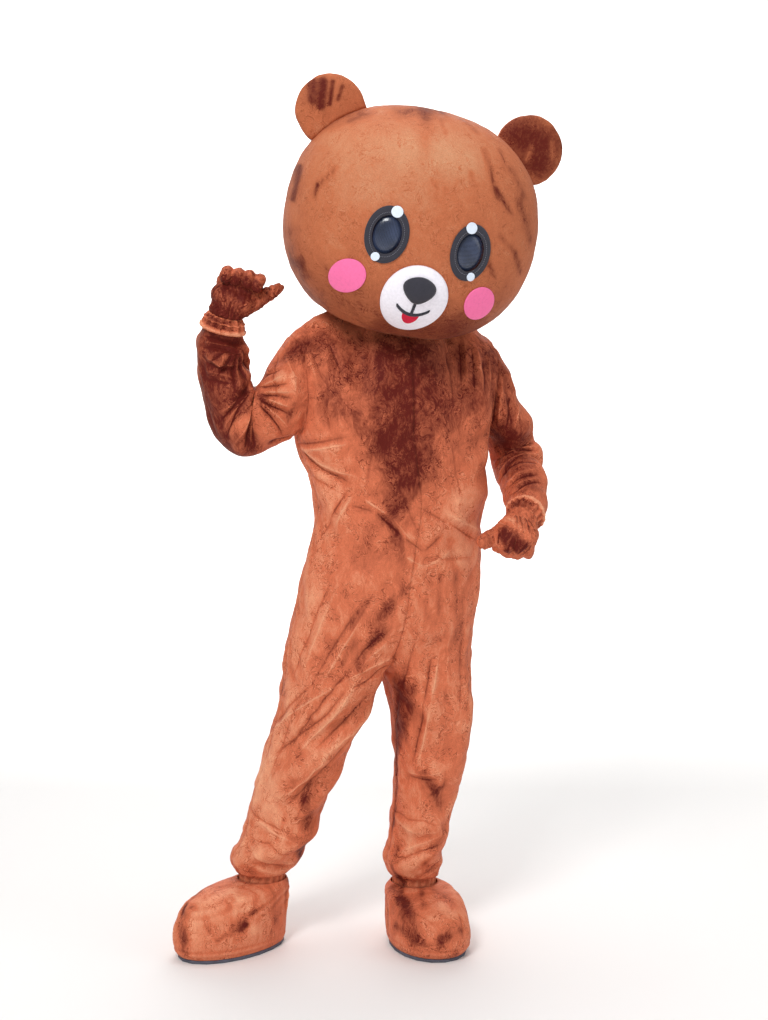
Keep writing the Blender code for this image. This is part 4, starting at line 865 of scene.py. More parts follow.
# Main folds of the worn suit, as runs over its form in millimetres: soft troughs, and ridges
# beside them, of that width and height.
FOLDS = runs(
    "x0 y0 z0 x1 y1 z1 width height",
    (-219, 8, -233, -141, -122, -216, 8, -4),
    (-216, 5, -244, -136, -121, -231, 8, 4.8),
    (-214, 2, -248, -134, -102, -318, 9, -5.6),
    (-216, -18, -241, -121, -116, -304, 8, 4.8),
    (-203, 17, -275, -144, -91, -343, 8, -3.2),
    (-144, -92, -335, -171, -63, -396, 7, -5.6),
    (-133, -99, -343, -161, -75, -412, 7, 4.8),
    (-171, -63, -396, -182, -42, -427, 6, -3.2),
    (-138, -98, -362, -88, -122, -377, 7, -3.2),
    (-88, -122, -377, -31, -138, -432, 7, -4.8),
    (-111, -112, -349, -55, -132, -389, 8, 4.8),
    (-55, -132, -389, -13, -139, -441, 7, 4),
    (-31, -138, -432, 15, -139, -463, 7, -4),
    (15, -139, -463, 69, -129, -423, 7, -4),
    (-31, -138, -470, 15, -139, -497, 7, 4),
    (15, -139, -497, 84, -126, -462, 7, 4),
    (1, -138, -367, 78, -129, -406, 8, -3.2),
    (78, -129, -406, 166, -75, -452, 8, -4),
    (72, -132, -384, 175, -65, -431, 10, 4),
    (19, -139, -480, 151, -90, -481, 7, -2.4),
    (-74, -132, -267, -35, -138, -296, 8, -3.2),
    (-30, -136, -352, 5, -139, -429, 9, -2.4),
    (82, -129, -235, 107, -125, -355, 12, -2.4),
    (-197, -92, -149, -178, -100, -216, 12, -2.4),
    (-99, -128, -250, -109, -118, -330, 12, -2.4),
    (53, -134, -226, 62, -134, -332, 12, 2.4),
    (-33, -70, -711, -154, -118, -753, 7, -4.8),
    (-154, -118, -753, -289, 27, -932, 7, -4.8),
    (-42, -96, -689, -166, -114, -740, 8, 4.8),
    (-166, -114, -740, -280, 72, -910, 8, 4.8),
    (-77, -130, -631, -138, -111, -708, 7, -4),
    (-138, -111, -708, -260, -28, -896, 7, -4.8),
    (-61, -123, -650, -125, -113, -717, 7, 3.2),
    (-126, -114, -725, -247, -44, -907, 8, 4.8),
    (-132, -120, -587, -222, -80, -746, 8, -4),
    (-222, -80, -746, -270, 29, -850, 7, -4),
    (-120, -124, -600, -208, -93, -754, 8, 4),
    (-175, -89, -521, -249, -25, -758, 9, -3.2),
    (-165, -98, -529, -236, -56, -737, 9, 3.2),
    (-67, -37, -794, -201, -71, -905, 7, 4),
    (-96, -82, -780, -213, -66, -892, 7, -4),
    (-129, -72, -849, -267, -5, -1032, 7, -4),
    (-146, -80, -846, -286, 6, -1019, 8, 4.8),
    (-197, -58, -934, -246, -8, -1086, 8, -2),
    (-238, -60, -779, -300, 20, -986, 8, -2.4),
    (-91, -131, -541, -150, -107, -648, 10, -2.4),
    (-311, 78, -1034, -232, -8, -1083, 8, -3),
    (-310, 50, -1050, -219, 6, -1110, 8, 3),
    (-318, 56, -1096, -212, 29, -1130, 7, -3),
    (-323, 54, -1108, -212, 42, -1149, 7, 2.5),
    (-320, 31, -1124, -227, 46, -1169, 6, -3),
    (-329, 49, -1146, -236, 54, -1183, 6, 2.5),
    (46, -108, -697, 31, -99, -802, 7, -4.8),
    (31, -99, -802, 20, -54, -943, 7, -4.8),
    (60, -107, -702, 41, -110, -801, 8, 4.8),
    (41, -110, -801, 29, -69, -940, 8, 4.8),
    (19, -33, -969, 77, -79, -968, 7, -3),
    (15, -32, -956, 83, -87, -949, 7, 2.5),
    (128, -89, -638, 110, -99, -838, 9, -2.4),
    (149, -68, -669, 137, -70, -935, 10, -2.4),
    (89, -115, -615, 80, -105, -791, 10, 2.4),
    (-8, -54, -772, 11, 34, -924, 8, -3.2),
    (3, -122, -654, -6, -61, -771, 8, -3.2),
    (86, -90, -936, 95, -45, -1108, 10, -1.5),
    (11, 47, -1055, 101, -44, -1077, 8, -2.5),
    (7, 23, -1067, 89, -49, -1093, 8, 2.5),
    (3, 0, -1170, 110, -31, -1117, 7, -3),
    (1, 8, -1156, 101, -42, -1096, 7, 3),
    (5, 30, -1201, 114, 0, -1157, 6, -3),
    (11, 20, -1210, 116, 6, -1175, 6, 2.5),
    (-341, -47, -111, -385, -49, -149, 6, -6.4),
    (-341, -48, -116, -399, -20, -187, 6, -6.4),
    (-336, -46, -120, -381, -17, -225, 6, -6.4),
    (-330, -38, -124, -352, -24, -246, 6, -6.4),
    (-327, -46, -128, -322, -23, -242, 6, -4.8),
    (-351, -53, -120, -398, -34, -166, 6, 4.8),
    (-341, -49, -124, -390, -20, -208, 6, 4.8),
    (-337, -49, -128, -368, -25, -237, 6, 4.8),
    (-328, -50, -132, -335, -24, -242, 6, 4.8),
    (-312, 8, -107, -273, -69, -74, 7, -5.6),
    (-318, -29, -116, -261, -88, -107, 6, -5.6),
    (-320, -52, -128, -256, -84, -136, 6, -5.6),
    (-323, -62, -141, -255, -66, -174, 6, -5.6),
    (-329, -67, -149, -269, -40, -217, 6, -5.6),
    (-316, -35, -113, -263, -80, -91, 6, 4.8),
    (-316, -53, -124, -256, -86, -122, 6, 4.8),
    (-319, -61, -134, -254, -77, -155, 6, 4.8),
    (-324, -66, -145, -259, -50, -198, 6, 4.8),
    (-297, -43, -225, -242, -23, -213, 8, -4.8),
    (-267, -4, -39, -266, -73, -162, 8, -3.2),
    (-257, -15, -31, -256, -83, -141, 8, 3.2),
    (-434, -32, -8, -361, -44, -24, 6, -4.8),
    (-435, -34, -20, -359, -53, -37, 6, 4),
    (-436, -36, -33, -363, -52, -51, 7, -4.8),
    (-435, -41, -47, -357, -44, -66, 7, 4),
    (-431, -34, -62, -362, -48, -78, 7, -4.8),
    (-429, -24, -78, -373, -56, -95, 8, 3.2),
    (-424, -23, -99, -382, -57, -107, 8, -4),
    (-421, 7, -141, -387, 8, -225, 10, -2.4),
    (232, -75, -133, 256, -54, -204, 10, -3.2),
    (200, -81, -98, 244, -60, -186, 10, 3.2),
    (-373, -56, -35, -378, -57, -124, 6, -5.6),
    (-365, -58, -41, -367, -58, -120, 6, 4.8),
    (-369, -56, -37, -346, -50, -107, 6, -5.6),
    (-358, -56, -41, -340, -46, -99, 6, 4.8),
    (-363, -52, -33, -300, -26, -82, 6, -4.8),
    (-352, -43, -28, -287, 2, -69, 6, 4.8),
    (-381, -62, -41, -412, -40, -95, 6, -5.6),
    (-383, -56, -33, -419, -35, -82, 6, 4.8),
    (-382, -59, -37, -428, -38, -62, 6, -4.8),
    (321, -22, -195, 251, -21, -241, 4.5, 5.8),
    (322, -20, -203, 255, -20, -248, 4.5, -6.7),
    (319, -23, -212, 251, -3, -259, 4.5, 4.4),
    (320, -22, -220, 247, -17, -266, 4.5, -5.2),
    (323, -21, -230, 243, 7, -283, 4.5, 3.5),
    (326, -25, -238, 241, -1, -290, 4.5, -4.2),
    (329, -27, -247, 241, 5, -294, 4.5, 4.4),
    (326, -32, -255, 241, -1, -302, 4.5, -5.2),
    (334, -30, -265, 237, -36, -310, 4.5, 3),
    (331, -37, -273, 236, -45, -317, 4.5, -3.6),
    (331, -40, -282, 241, -26, -325, 4.5, 4.4),
    (307, -91, -287, 242, -30, -332, 4.5, -5.2),
    (304, -102, -296, 231, -74, -337, 4.5, 3.5),
    (300, -110, -304, 230, -82, -344, 4.5, -4.2),
    (298, -117, -313, 227, -105, -343, 4.5, 3.9),
    (295, -123, -320, 226, -114, -350, 4.5, -4.7),
    (190, -73, -45, 182, -99, -124, 6, 4),
    (174, -86, -55, 166, -113, -133, 6, -4),
    (220, -77, -96, 229, -42, -200, 6, 4),
    (203, -80, -113, 216, -36, -200, 6, -5.6),
    (267, -57, -148, 257, -53, -208, 6, 4),
    (242, -74, -137, 244, -49, -204, 6, -4.8),
    (235, -68, -80, 263, -59, -133, 7, 3.2),
    (134, -69, -12, 128, -113, -124, 6, 2.4),
    (121, -74, -23, 112, -118, -137, 6, -3.2),
    (160, -74, -22, 153, -114, -124, 6, 2.4),
    (147, -78, -22, 141, -116, -141, 6, -3.2),
    (88, -85, -34, 82, -129, -162, 6, -2.4),
    (-223, -64, -40, -205, -89, -107, 6, 2.4),
    (-213, -67, -36, -193, -92, -107, 6, -2.4),
    (-174, -75, -25, -151, -105, -99, 7, -2.4),
    (-190, 60, -260, -80, 110, -360, 10, 4.8),
    (-180, 70, -240, -70, 120, -320, 9, -4.8),
    (-160, 90, -400, -40, 120, -500, 10, -4),
    (-150, 90, -430, -30, 120, -530, 10, 4),
    (170, 70, -270, 70, 110, -380, 10, 4.8),
    (170, 80, -240, 60, 120, -340, 9, -4.8),
    (160, 80, -420, 40, 120, -500, 10, -4),
    (150, 100, -460, 30, 130, -530, 10, 4),
    (-50, 130, -600, -150, 110, -760, 9, -4.8),
    (-60, 130, -580, -180, 100, -720, 9, 4.8),
    (0, 140, -600, 90, 110, -760, 9, -4.8),
    (10, 140, -580, 120, 110, -720, 9, 4.8),
    (-120, 130, -820, -240, 130, -980, 8, -4.8),
    (-130, 130, -800, -250, 120, -940, 8, 4.8),
    (-180, 150, -960, -290, 140, -1080, 8, -3),
    (-190, 150, -940, -290, 140, -1050, 8, 2.5),
    (-220, 160, -1100, -330, 130, -1130, 8, -3),
    (-220, 160, -1080, -320, 140, -1110, 8, 3),
    (-230, 160, -1130, -330, 130, -1150, 7, 2.5),
    (-100, 130, -850, -160, 150, -980, 8, 4),
    (50, 100, -800, 140, 70, -920, 8, -4.8),
    (40, 100, -820, 130, 80, -950, 8, 4.8),
    (20, 90, -960, 120, 80, -990, 8, -3),
    (20, 90, -980, 120, 80, -1020, 8, 3),
    (10, 100, -1060, 110, 80, -1090, 8, -3),
    (10, 100, -1100, 110, 80, -1130, 8, 3),
    (10, 100, -1140, 110, 80, -1160, 7, -2.5),
    (10, 100, -1165, 100, 90, -1180, 7, 2.5),
    (-370, 60, -200, -420, 50, -120, 9, -4),
    (-360, 60, -150, -420, 40, -80, 8, 4),
    (-320, 90, -180, -260, 80, -120, 9, -4.8),
    (-330, 90, -220, -260, 80, -170, 9, 4.8),
    (-420, 30, -30, -360, 30, -40, 7, -4),
    (-420, 30, -50, -360, 40, -60, 7, 4),
    (260, 80, -140, 310, 80, -220, 9, -4.8),
    (270, 80, -110, 330, 60, -190, 9, 4.8),
    (260, 80, -220, 330, 60, -270, 8, -4.8),
    (270, 60, -270, 340, 20, -300, 8, 4.8),
    (320, -10, -330, 300, -60, -380, 8, -4),
    (350, -20, -270, 340, -60, -330, 8, 4),
    (310, -90, -370, 290, -120, -400, 7, -4),
    (205, 0, -450, 180, 0, -620, 10, -3.2),
    (190, 20, -660, 160, 20, -850, 10, -3.2),
    (-260, 40, -720, -280, 60, -880, 10, -3.2),
    (-210, 20, -400, -230, 30, -600, 10, -3.2),
    (-100, 20, -800, -150, 50, -940, 8, -4),
    (10, 20, -800, 20, 30, -960, 8, -4),
    (0, 20, -820, 10, 40, -990, 8, 3.2),
)


def laid_creases(points, normals, folds, cloth, full=0.006):
    """How far each point rises or sinks with the folds, and the crisp lines along them.

    A run is laid over the cloth in short lengths, and the distance to it is measured along the
    cloth; a fold counts on its own side of the cloth only and fades out towards its ends. A line is
    kept as the signed distance to it in widths and its strength, which stay exact between points
    and reach 1 at the full height.
    """
    height = np.zeros(len(points))
    lines = {name: np.zeros(len(points)) for pair in LINES.items() for name in pair}
    closest = {kind: np.full(len(points), LINE_FADE[0]) for kind in LINES}
    for fold in folds:
        start = Vector((fold["x0"], fold["y0"], fold["z0"]))
        span = Vector((fold["x1"], fold["y1"], fold["z1"])) - start
        parts = max(2, round(span.length / FOLD_PART))
        laid = [cloth.find_nearest(start + span * (i / parts))[0] for i in range(parts + 1)]
        for _ in range(FOLD_ROUNDS):
            inner = [cloth.find_nearest((a + b) / 2)[0] for a, b in zip(laid, laid[2:])]
            laid = [laid[0], *inner, laid[-1]]
        laid = [np.array(spot) for spot in laid]
        middle = (laid[0] + laid[-1]) / 2
        reach = max(np.linalg.norm(spot - middle) for spot in laid) + 6 * fold["width"]
        near = np.flatnonzero(np.linalg.norm(points - middle, axis=1) < reach)
        place, normal = points[near], normals[near]
        gap, t, offset, deep = (np.full(len(near), value) for value in (9.0, 0.0, 0.0, 0.0))
        for part, (low, high) in enumerate(zip(laid, laid[1:])):
            way = high - low
            away = place - low
            along = away @ way / max(way @ way, 1e-12)
            away = away - np.clip(along, 0, 1)[:, None] * way
            under = (away * normal).sum(1)
            far = np.sqrt(np.maximum((away * away).sum(1) - under * under, 0)) / fold["width"]
            closer = far < gap
            gap, deep = np.where(closer, far, gap), np.where(closer, under, deep)
            t = np.where(closer, (part + along) / parts, t)
            side = (away * np.cross(unit(way), normal)).sum(1) / fold["width"]
            offset = np.where(closer, side, offset)
        fade = step(-0.08, 0.22, t) * step(1.08, 0.62, t) * step(*DEPTH_FADE, np.abs(deep))
        height[near] += fold["height"] * fade * np.exp(-(gap**FOLD_SHARP))
        kind = "crest" if fold["height"] > 0 else "trough"
        first = (gap < closest[kind][near]) & (fade > 0.02)
        at = near[first]
        closest[kind][at] = gap[first]
        lines[kind][at] = offset[first]
        strength = fade * step(*LINE_FADE, gap) * abs(fold["height"]) / full
        lines[LINES[kind]][at] = strength[first]
    return height, lines


def surface_of(mesh):
    """The mesh as a tree to lay points on."""
    bm = opened(mesh)
    tree = BVHTree.FromBMesh(bm)
    bm.free()
    return tree


def split_by_panel(mesh, names):
    """One mesh for each panel of a sewn skin."""
    panels = []
    for index, name in enumerate(names):
        bm = opened(mesh)
        others = [f for f in bm.faces if f.material_index != index]
        bmesh.ops.delete(bm, geom=others, context="FACES")
        for face in bm.faces:
            face.material_index = 0
        panels.append((name, bm))
    return panels


class CutSuit(bpy.types.Operator):
    """Velvet jumpsuit: two fronts, two backs and two sleeves, crumpled as it is worn"""

    bl_idname = "costume.cut_suit"
    bl_label = "Suit"

    def execute(self, context):
        form = new_object("suit_form", sewn(SUIT_NODES))
        form = new_object("suit_form", refined(form, levels=2))
        points = points_of(form.data)
        ease = step(0.060, 0.010, np.abs(points[:, 2] - CROTCH))[:, None]
        put_points(form.data, points + ease * (averaged(form.data, points, rounds=16) - points))
        form = self.crumple(form)
        rounded(form, levels=1)
        form = new_object("suit_form", applied(form))
        points = points_of(form.data)
        normals = normals_of(form.data)
        near, hem = seam_distances(form.data, points)
        dip = sizes().seam_width
        seam = -sizes().seam_dip * np.exp(-((near / dip) ** 2)) * step(0.0, 0.01, hem)
        pucker = PUCKER * noise_field(points, 42.0, seed=5) * np.exp(-((near / (3 * dip)) ** 2))
        pucker *= step(0.0, 0.004, near)
        crush = sizes().crease * noise_field(points * (1, 1, 0.7), 15.0, seed=6, octaves=2)
        crush *= step(0.0, 0.02, near)
        folds, lines = laid_creases(points, normals, FOLDS, surface_of(form.data))
        folds *= step(0.0, 0.012, near) * step(0.0, 0.02, hem)
        put_points(form.data, points + normals * (seam + pucker + crush + folds)[:, None])
        mesh = form.data
        bpy.data.objects.remove(form)
        mark_ridges(mesh)
        set_layers(mesh, lines)
        for name, bm in split_by_panel(mesh, SUIT_NODES):
            panel = new_object(name + "_cloth", bm)
            store_nap_and_shading(panel.data)
            walled(panel, sizes().cloth)
            finished(panel, suit_velvet(), "brown_velvet", name)
        bpy.data.meshes.remove(mesh)
        return {"FINISHED"}

    def crumple(self, form):
        """Lets the spare cloth settle, then limits how far it stands off the worn form."""
        worn = points_of(form.data)
        near, hem = seam_distances(form.data, worn)
        hold = sizes().hold + 0.30 * (1 - step(0.0, 0.02, near))
        hold = np.maximum(hold, 1 - step(0.004, 0.03, hem))
        x, y, z = worn.T
        beside = ZIP["beside"]
        hold[(np.abs(x) < beside) & (y > beside) & (z > ZIP["bottom"] - beside)] = 1
        mesh = crumpled(form, np.clip(hold, 0, 1), sizes().growth, sizes().sim_steps)
        moved = points_of(mesh) - worn
        far = np.maximum(np.linalg.norm(moved, axis=1, keepdims=True), 1e-9)
        reach = sizes().fold_reach
        put_points(mesh, worn + moved / far * reach * np.tanh(far / reach))
        return new_object("suit_form", mesh)


# Head ----------------------------------------------------------------------------------------
# Laid out about its own middle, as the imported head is: u to the left, v up, the face towards -Y.

HEAD_CENTRE = np.array([-0.003, -0.100, 0.2300])
HEAD_HALF = np.array([0.267, 0.250, 0.241])  # half its width, depth and height
HEAD_POWER = 2.25  # how square it is: 2 is a plain ellipsoid
HEAD_TILT = [math.radians(degrees) for degrees in (6, 11, -8.8)]
HEAD_TURN = np.array(Euler(HEAD_TILT, "XYZ").to_matrix())
HEAD_MESH = dict(turns=160, rows=108)
# The neck opening: its middle, in the model's frame, and half the angle it takes up as seen from
# the middle of the head.
OPENING_AT = np.array([-0.006, 0.000, 0.000])
OPENING_HALF = {"front": math.radians(32), "side": math.radians(39.12)}
LOWER_FROM = math.radians(60)  # the skin leans towards the opening from this angle off the crown
FACE_FADE = (0.075, -0.045)  # depths in the head between which its strokes come in
LIFT = 0.0006  # a piece on the head lies this far over the velvet

# Each piece on the head: where its middle lies, its half sizes, and how far it stands out.
EYE = dict(u=0.086, v=-0.037, hole_u=0.031, hole_v=0.043, ring_u=0.0285, rim_u=0.042, rim_v=0.056,
           lens_depth=0.0025, lens_thick=0.0015, thread=0.78)
STITCH = dict(radius=0.00045, share=0.68)  # of a thread stitch, and of its spacing that it fills
# Where each glint lies from the middle of the eye, and its radius.
GLINTS = {"upper": (-0.010, 0.0470, 0.0115), "lower": (0.012, -0.0455, 0.0085)}
MUZZLE = dict(v=-0.146, half_u=0.067, half_v=0.065, edge=0.004, rise=0.017)
NOSE = dict(v=-0.122, half_u=0.032, half_v=0.022, edge=0.003, rise=0.011)
MOUTH = dict(half_u=0.034, low=-0.168, curl=0.013, half_line=0.0029, top=-0.1455, lift=0.0012)
TONGUE = dict(reach=0.50, drop=0.017, lift=0.0006)
STRIP = 0.0012  # thickness of the mouth and the tongue
CHEEK = dict(u=0.138, v=-0.131, radius=0.034)
EAR = dict(nap_and_shading=0.12, y=0.014, radius=0.0745, thick=0.0225, power=2.6)
EAR_AT = {"left": (0.221, 0.205), "right": (-0.212, 0.195)}
EAR_NAP = table(
    "x0 z0 x1 z1 width strength",
    (-0.262, 0.236, -0.256, 0.205, 0.012, 0.8),
    (-0.240, 0.246, -0.236, 0.196, 0.009, 1.0),
    (-0.221, 0.250, -0.219, 0.204, 0.005, 0.9),
    (-0.200, 0.246, -0.204, 0.216, 0.005, 0.7),
    (-0.230, 0.150, -0.190, 0.150, 0.020, -0.35),
    (0.190, 0.230, 0.245, 0.220, 0.046, 1.05),
    (0.215, 0.165, 0.250, 0.170, 0.026, 0.60),
    (0.222, 0.212, 0.215, 0.186, 0.007, -0.55),
    (0.262, 0.232, 0.270, 0.200, 0.007, -0.50),
)


def to_world(local):
    return HEAD_CENTRE + np.asarray(local) @ HEAD_TURN.T


def to_head(world):
    return (np.asarray(world) - HEAD_CENTRE) @ HEAD_TURN


def head_size(local):
    """Below 1 inside the head, 1 on its skin and above 1 outside it."""
    return (np.abs(np.asarray(local) / HEAD_HALF) ** HEAD_POWER).sum(-1) ** (1 / HEAD_POWER)


def head_normal(local):
    return unit(np.sign(local) * np.abs(local / HEAD_HALF) ** (HEAD_POWER - 1) / HEAD_HALF)


def turned_about(axis, angle, rays):
    """The rays turned about an axis, each by its own angle."""
    angle = np.asarray(angle)[:, None]
    along = (rays @ axis)[:, None] * axis
    return rays * np.cos(angle) + np.cross(axis, rays) * np.sin(angle) + along * (1 - np.cos(angle))


def gore_points(turn, share):
    """Points of the skin: turn runs from the face to the left, share from crown (0) to rim (1)."""
    front, side = OPENING_HALF["front"], OPENING_HALF["side"]
    half = front + (side - front) * np.sin(turn) ** 2
    polar = (math.pi - half) * share
    across = np.sin(polar)
    rays = np.column_stack([across * np.sin(turn), -across * np.cos(turn), np.cos(polar)])
    aim = unit((OPENING_AT - HEAD_CENTRE) @ HEAD_TURN / HEAD_HALF)
    down = np.array([0.0, 0.0, -1.0])
    lean = step(LOWER_FROM, math.pi, polar) * math.acos(float(down @ aim))
    rays = turned_about(unit(np.cross(down, aim)), lean, rays)
    size = (np.abs(rays) ** HEAD_POWER).sum(1, keepdims=True) ** (-1 / HEAD_POWER)
    return rays * size * HEAD_HALF


def face_points(u, v, lift=0.0, inward=0.0):
    """Points on the front of the head: lift along the skin's normal, inward straight back."""
    u, v = np.asarray(u, float), np.asarray(v, float)
    rest = 1 - np.abs(u / HEAD_HALF[0]) ** HEAD_POWER - np.abs(v / HEAD_HALF[2]) ** HEAD_POWER
    local = np.column_stack([u, -HEAD_HALF[1] * rest ** (1 / HEAD_POWER), v])
    normal = head_normal(local)
    local[:, 1] += inward
    return to_world(local + normal * np.reshape(lift, (-1, 1)))


def turned(profile, segments, closed=False):
    """A body turned round the Y axis from a profile of (radius, height); the height runs to -Y."""
    bm = bmesh.new()
    corners = [bm.verts.new((radius, -height, 0)) for radius, height in profile]
    pairs = list(zip(corners, corners[1:])) + ([(corners[-1], corners[0])] if closed else [])
    edges = [bm.edges.new(pair) for pair in pairs]
    bmesh.ops.spin(bm, geom=corners + edges, cent=(0, 0, 0), axis=(0, 1, 0), dvec=(0, 0, 0),
                   angle=2 * math.pi, steps=segments, use_merge=True, use_duplicate=False)
    bmesh.ops.remove_doubles(bm, verts=bm.verts, dist=MERGE)
    bmesh.ops.recalc_face_normals(bm, faces=bm.faces)
    return bm


def soft_slab(thick, edge, rings=(0.0, 0.3, 0.6, 0.85)):
    """The profile of a flat piece of unit radius with a rounded rim of radius edge."""
    low = [(r, 0.0) for r in rings]
    turn = np.linspace(-math.pi / 2, math.pi / 2, 9)
    rim = [(1 - edge + edge * math.cos(t), thick / 2 + thick / 2 * math.sin(t)) for t in turn]
    return low + rim + [(r, thick) for r in reversed(rings)]


def laid_on_face(bm, centre, half, over=None, shape=None):
    """Bends a body of unit radius over the face; over gives the height of what lies under it."""
    x, y, z = places_of(bm).T
    if shape:
        x, z = shape(x, z)
    u, v = centre[0] + x * half[0], centre[1] + z * half[1]
    put_all(bm, face_points(u, v, LIFT - y + (over(u, v) if over else 0)))
    return bm


def dome(piece, share):
    """The height of a stuffed piece at a share of the way from its middle to its edge."""
    return piece["edge"] + piece["rise"] * np.clip(1 - share * share, 0, 1) ** 0.62


def muzzle_height(u, v):
    share = np.hypot(u / MUZZLE["half_u"], (v - MUZZLE["v"]) / MUZZLE["half_v"])
    return np.where(share < 1, dome(MUZZLE, np.clip(share, 0, 1)), 0)


class CoverHead(bpy.types.Operator):
    """Foam head under brushed velvet: four gores with the neck opening and two eye holes"""

    bl_idname = "costume.cover_head"
    bl_label = "Head"

    def execute(self, context):
        bm = bmesh.new()
        turns, rows = HEAD_MESH["turns"], HEAD_MESH["rows"]
        bmesh.ops.create_uvsphere(bm, u_segments=turns, v_segments=rows, radius=1)
        pole = min(bm.verts, key=lambda v: v.co.z)
        bmesh.ops.delete(bm, geom=[pole], context="VERTS")
        ball = places_of(bm)
        turn = np.arctan2(ball[:, 0], -ball[:, 1])
        share = np.arccos(np.clip(ball[:, 2], -1, 1)) / math.pi * rows / (rows - 1)
        put_all(bm, gore_points(turn, np.clip(share, 0, 1)), outwards=False)
        self.cut_eyes(bm)
        local = places_of(bm)
        turn = np.arctan2(local[:, 0], -local[:, 1])
        ring = np.hypot(local[:, 0], local[:, 1])
        off_seam = np.abs((turn + math.pi / 4) % (math.pi / 2) - math.pi / 4) * ring
        dip = sizes().seam_dip * 0.6 * np.exp(-((off_seam / (sizes().seam_width * 0.7)) ** 2))
        swell = 0.0012 * noise_field(local, 7.0, seed=11)
        swell += 0.0004 * noise_field(local, 30.0, seed=12)
        flat_face = step(-0.10, -0.16, local[:, 1])
        rise = swell * (1 - flat_face) - dip
        put_all(bm, to_world(local + head_normal(local) * rise[:, None]))
        head = new_object("head", bm)
        level = nap_and_shading_level(local[:, [0, 2]], HEAD_NAP_AND_SHADING, "xz")
        store_nap_and_shading(head.data, level * step(*FACE_FADE, local[:, 1]))
        walled(head, sizes().foam)
        nodes = [f"head_{face}_{side}" for face in ("front", "back") for side in SIDES]
        finished(head, head_velvet(), "brown_velvet", *nodes)
        return {"FINISHED"}

    def cut_eyes(self, bm):
        """Opens a hole behind each lens and draws its edge out to an even oval."""
        for side in SIDES.values():
            middle = side * EYE["u"]

            def share(co, middle=middle):
                return math.hypot((co.x - middle) / EYE["hole_u"],
                                  (co.z - EYE["v"]) / EYE["hole_v"])

            inside = [f for f in bm.faces if f.calc_center_median().y < 0
                      and share(f.calc_center_median()) < 1]
            bmesh.ops.delete(bm, geom=inside, context="FACES")
            for vert in bm.verts:
                if vert.is_boundary and vert.co.y < 0 and share(vert.co) < 1.5:
                    size = share(vert.co)
                    u = middle + (vert.co.x - middle) / size
                    v = EYE["v"] + (vert.co.z - EYE["v"]) / size
                    vert.co = Vector(to_head(face_points([u], [v]))[0])


class SewEars(bpy.types.Operator):
    """Stuffed round ears, each of two halves sewn round the rim and sewn down on the head"""

    bl_idname = "costume.sew_ears"
    bl_label = "Ears"

    def execute(self, context):
        for side in SIDES:
            bm = bmesh.new()
            bmesh.ops.create_uvsphere(bm, u_segments=96, v_segments=64, radius=1,
                                      matrix=Matrix.Rotation(math.pi / 2, 4, "X"))
            ball = places_of(bm)
            share = np.hypot(ball[:, 0], ball[:, 2])
            plump = np.clip(1 - share ** EAR["power"], 0, 1) ** (1 / EAR["power"])
            pinch = 1 - 0.035 * np.exp(-((plump / 0.16) ** 2))
            local = np.column_stack([
                EAR_AT[side][0] + ball[:, 0] * pinch * EAR["radius"],
                EAR["y"] + np.sign(ball[:, 1]) * plump * EAR["thick"],
                EAR_AT[side][1] + ball[:, 2] * pinch * EAR["radius"],
            ])
            local += 0.0010 * noise_field(local, 18.0, seed=21)[:, None] * unit(ball)
            put_all(bm, local, outwards=False)
            inner = [v for v in bm.verts if head_size(v.co) < 1.002]
            bmesh.ops.delete(bm, geom=inner, context="VERTS")
            for vert in bm.verts:
                if vert.is_boundary:
                    vert.co = Vector(np.array(vert.co) / head_size(vert.co))
            local = places_of(bm)
            put_all(bm, to_world(local))
            ear = new_object(f"ear_{side}", bm)
            level = nap_and_shading_level(local[:, [0, 2]], EAR_NAP, "xz")
            front = step(EAR["y"] + 0.004, EAR["y"] - 0.010, local[:, 1])
            store_nap_and_shading(ear.data, EAR["nap_and_shading"] + level * front)
            walled(ear, sizes().cloth)
            finished(ear, head_velvet(), "brown_velvet", f"ear_front_{side}", f"ear_back_{side}")
        return {"FINISHED"}


def stitches(name, path, tone):
    """A closed row of thread stitches along a path of evenly spaced points, as one mesh."""
    bm = bmesh.new()
    for start, end in zip(path, np.roll(path, -1, axis=0)):
        way = Vector(end - start)
        turn = way.to_track_quat("Z", "Y").to_matrix().to_4x4()
        half = way.length * STITCH["share"] / 2
        size = Matrix.Diagonal((STITCH["radius"], STITCH["radius"], half, 1))
        bmesh.ops.create_icosphere(bm, subdivisions=1, radius=1,
                                   matrix=Matrix.Translation((start + end) / 2) @ turn @ size)
    return finished(new_object(name, bm), woven("polyester thread, eye", tone), "zip_tape")


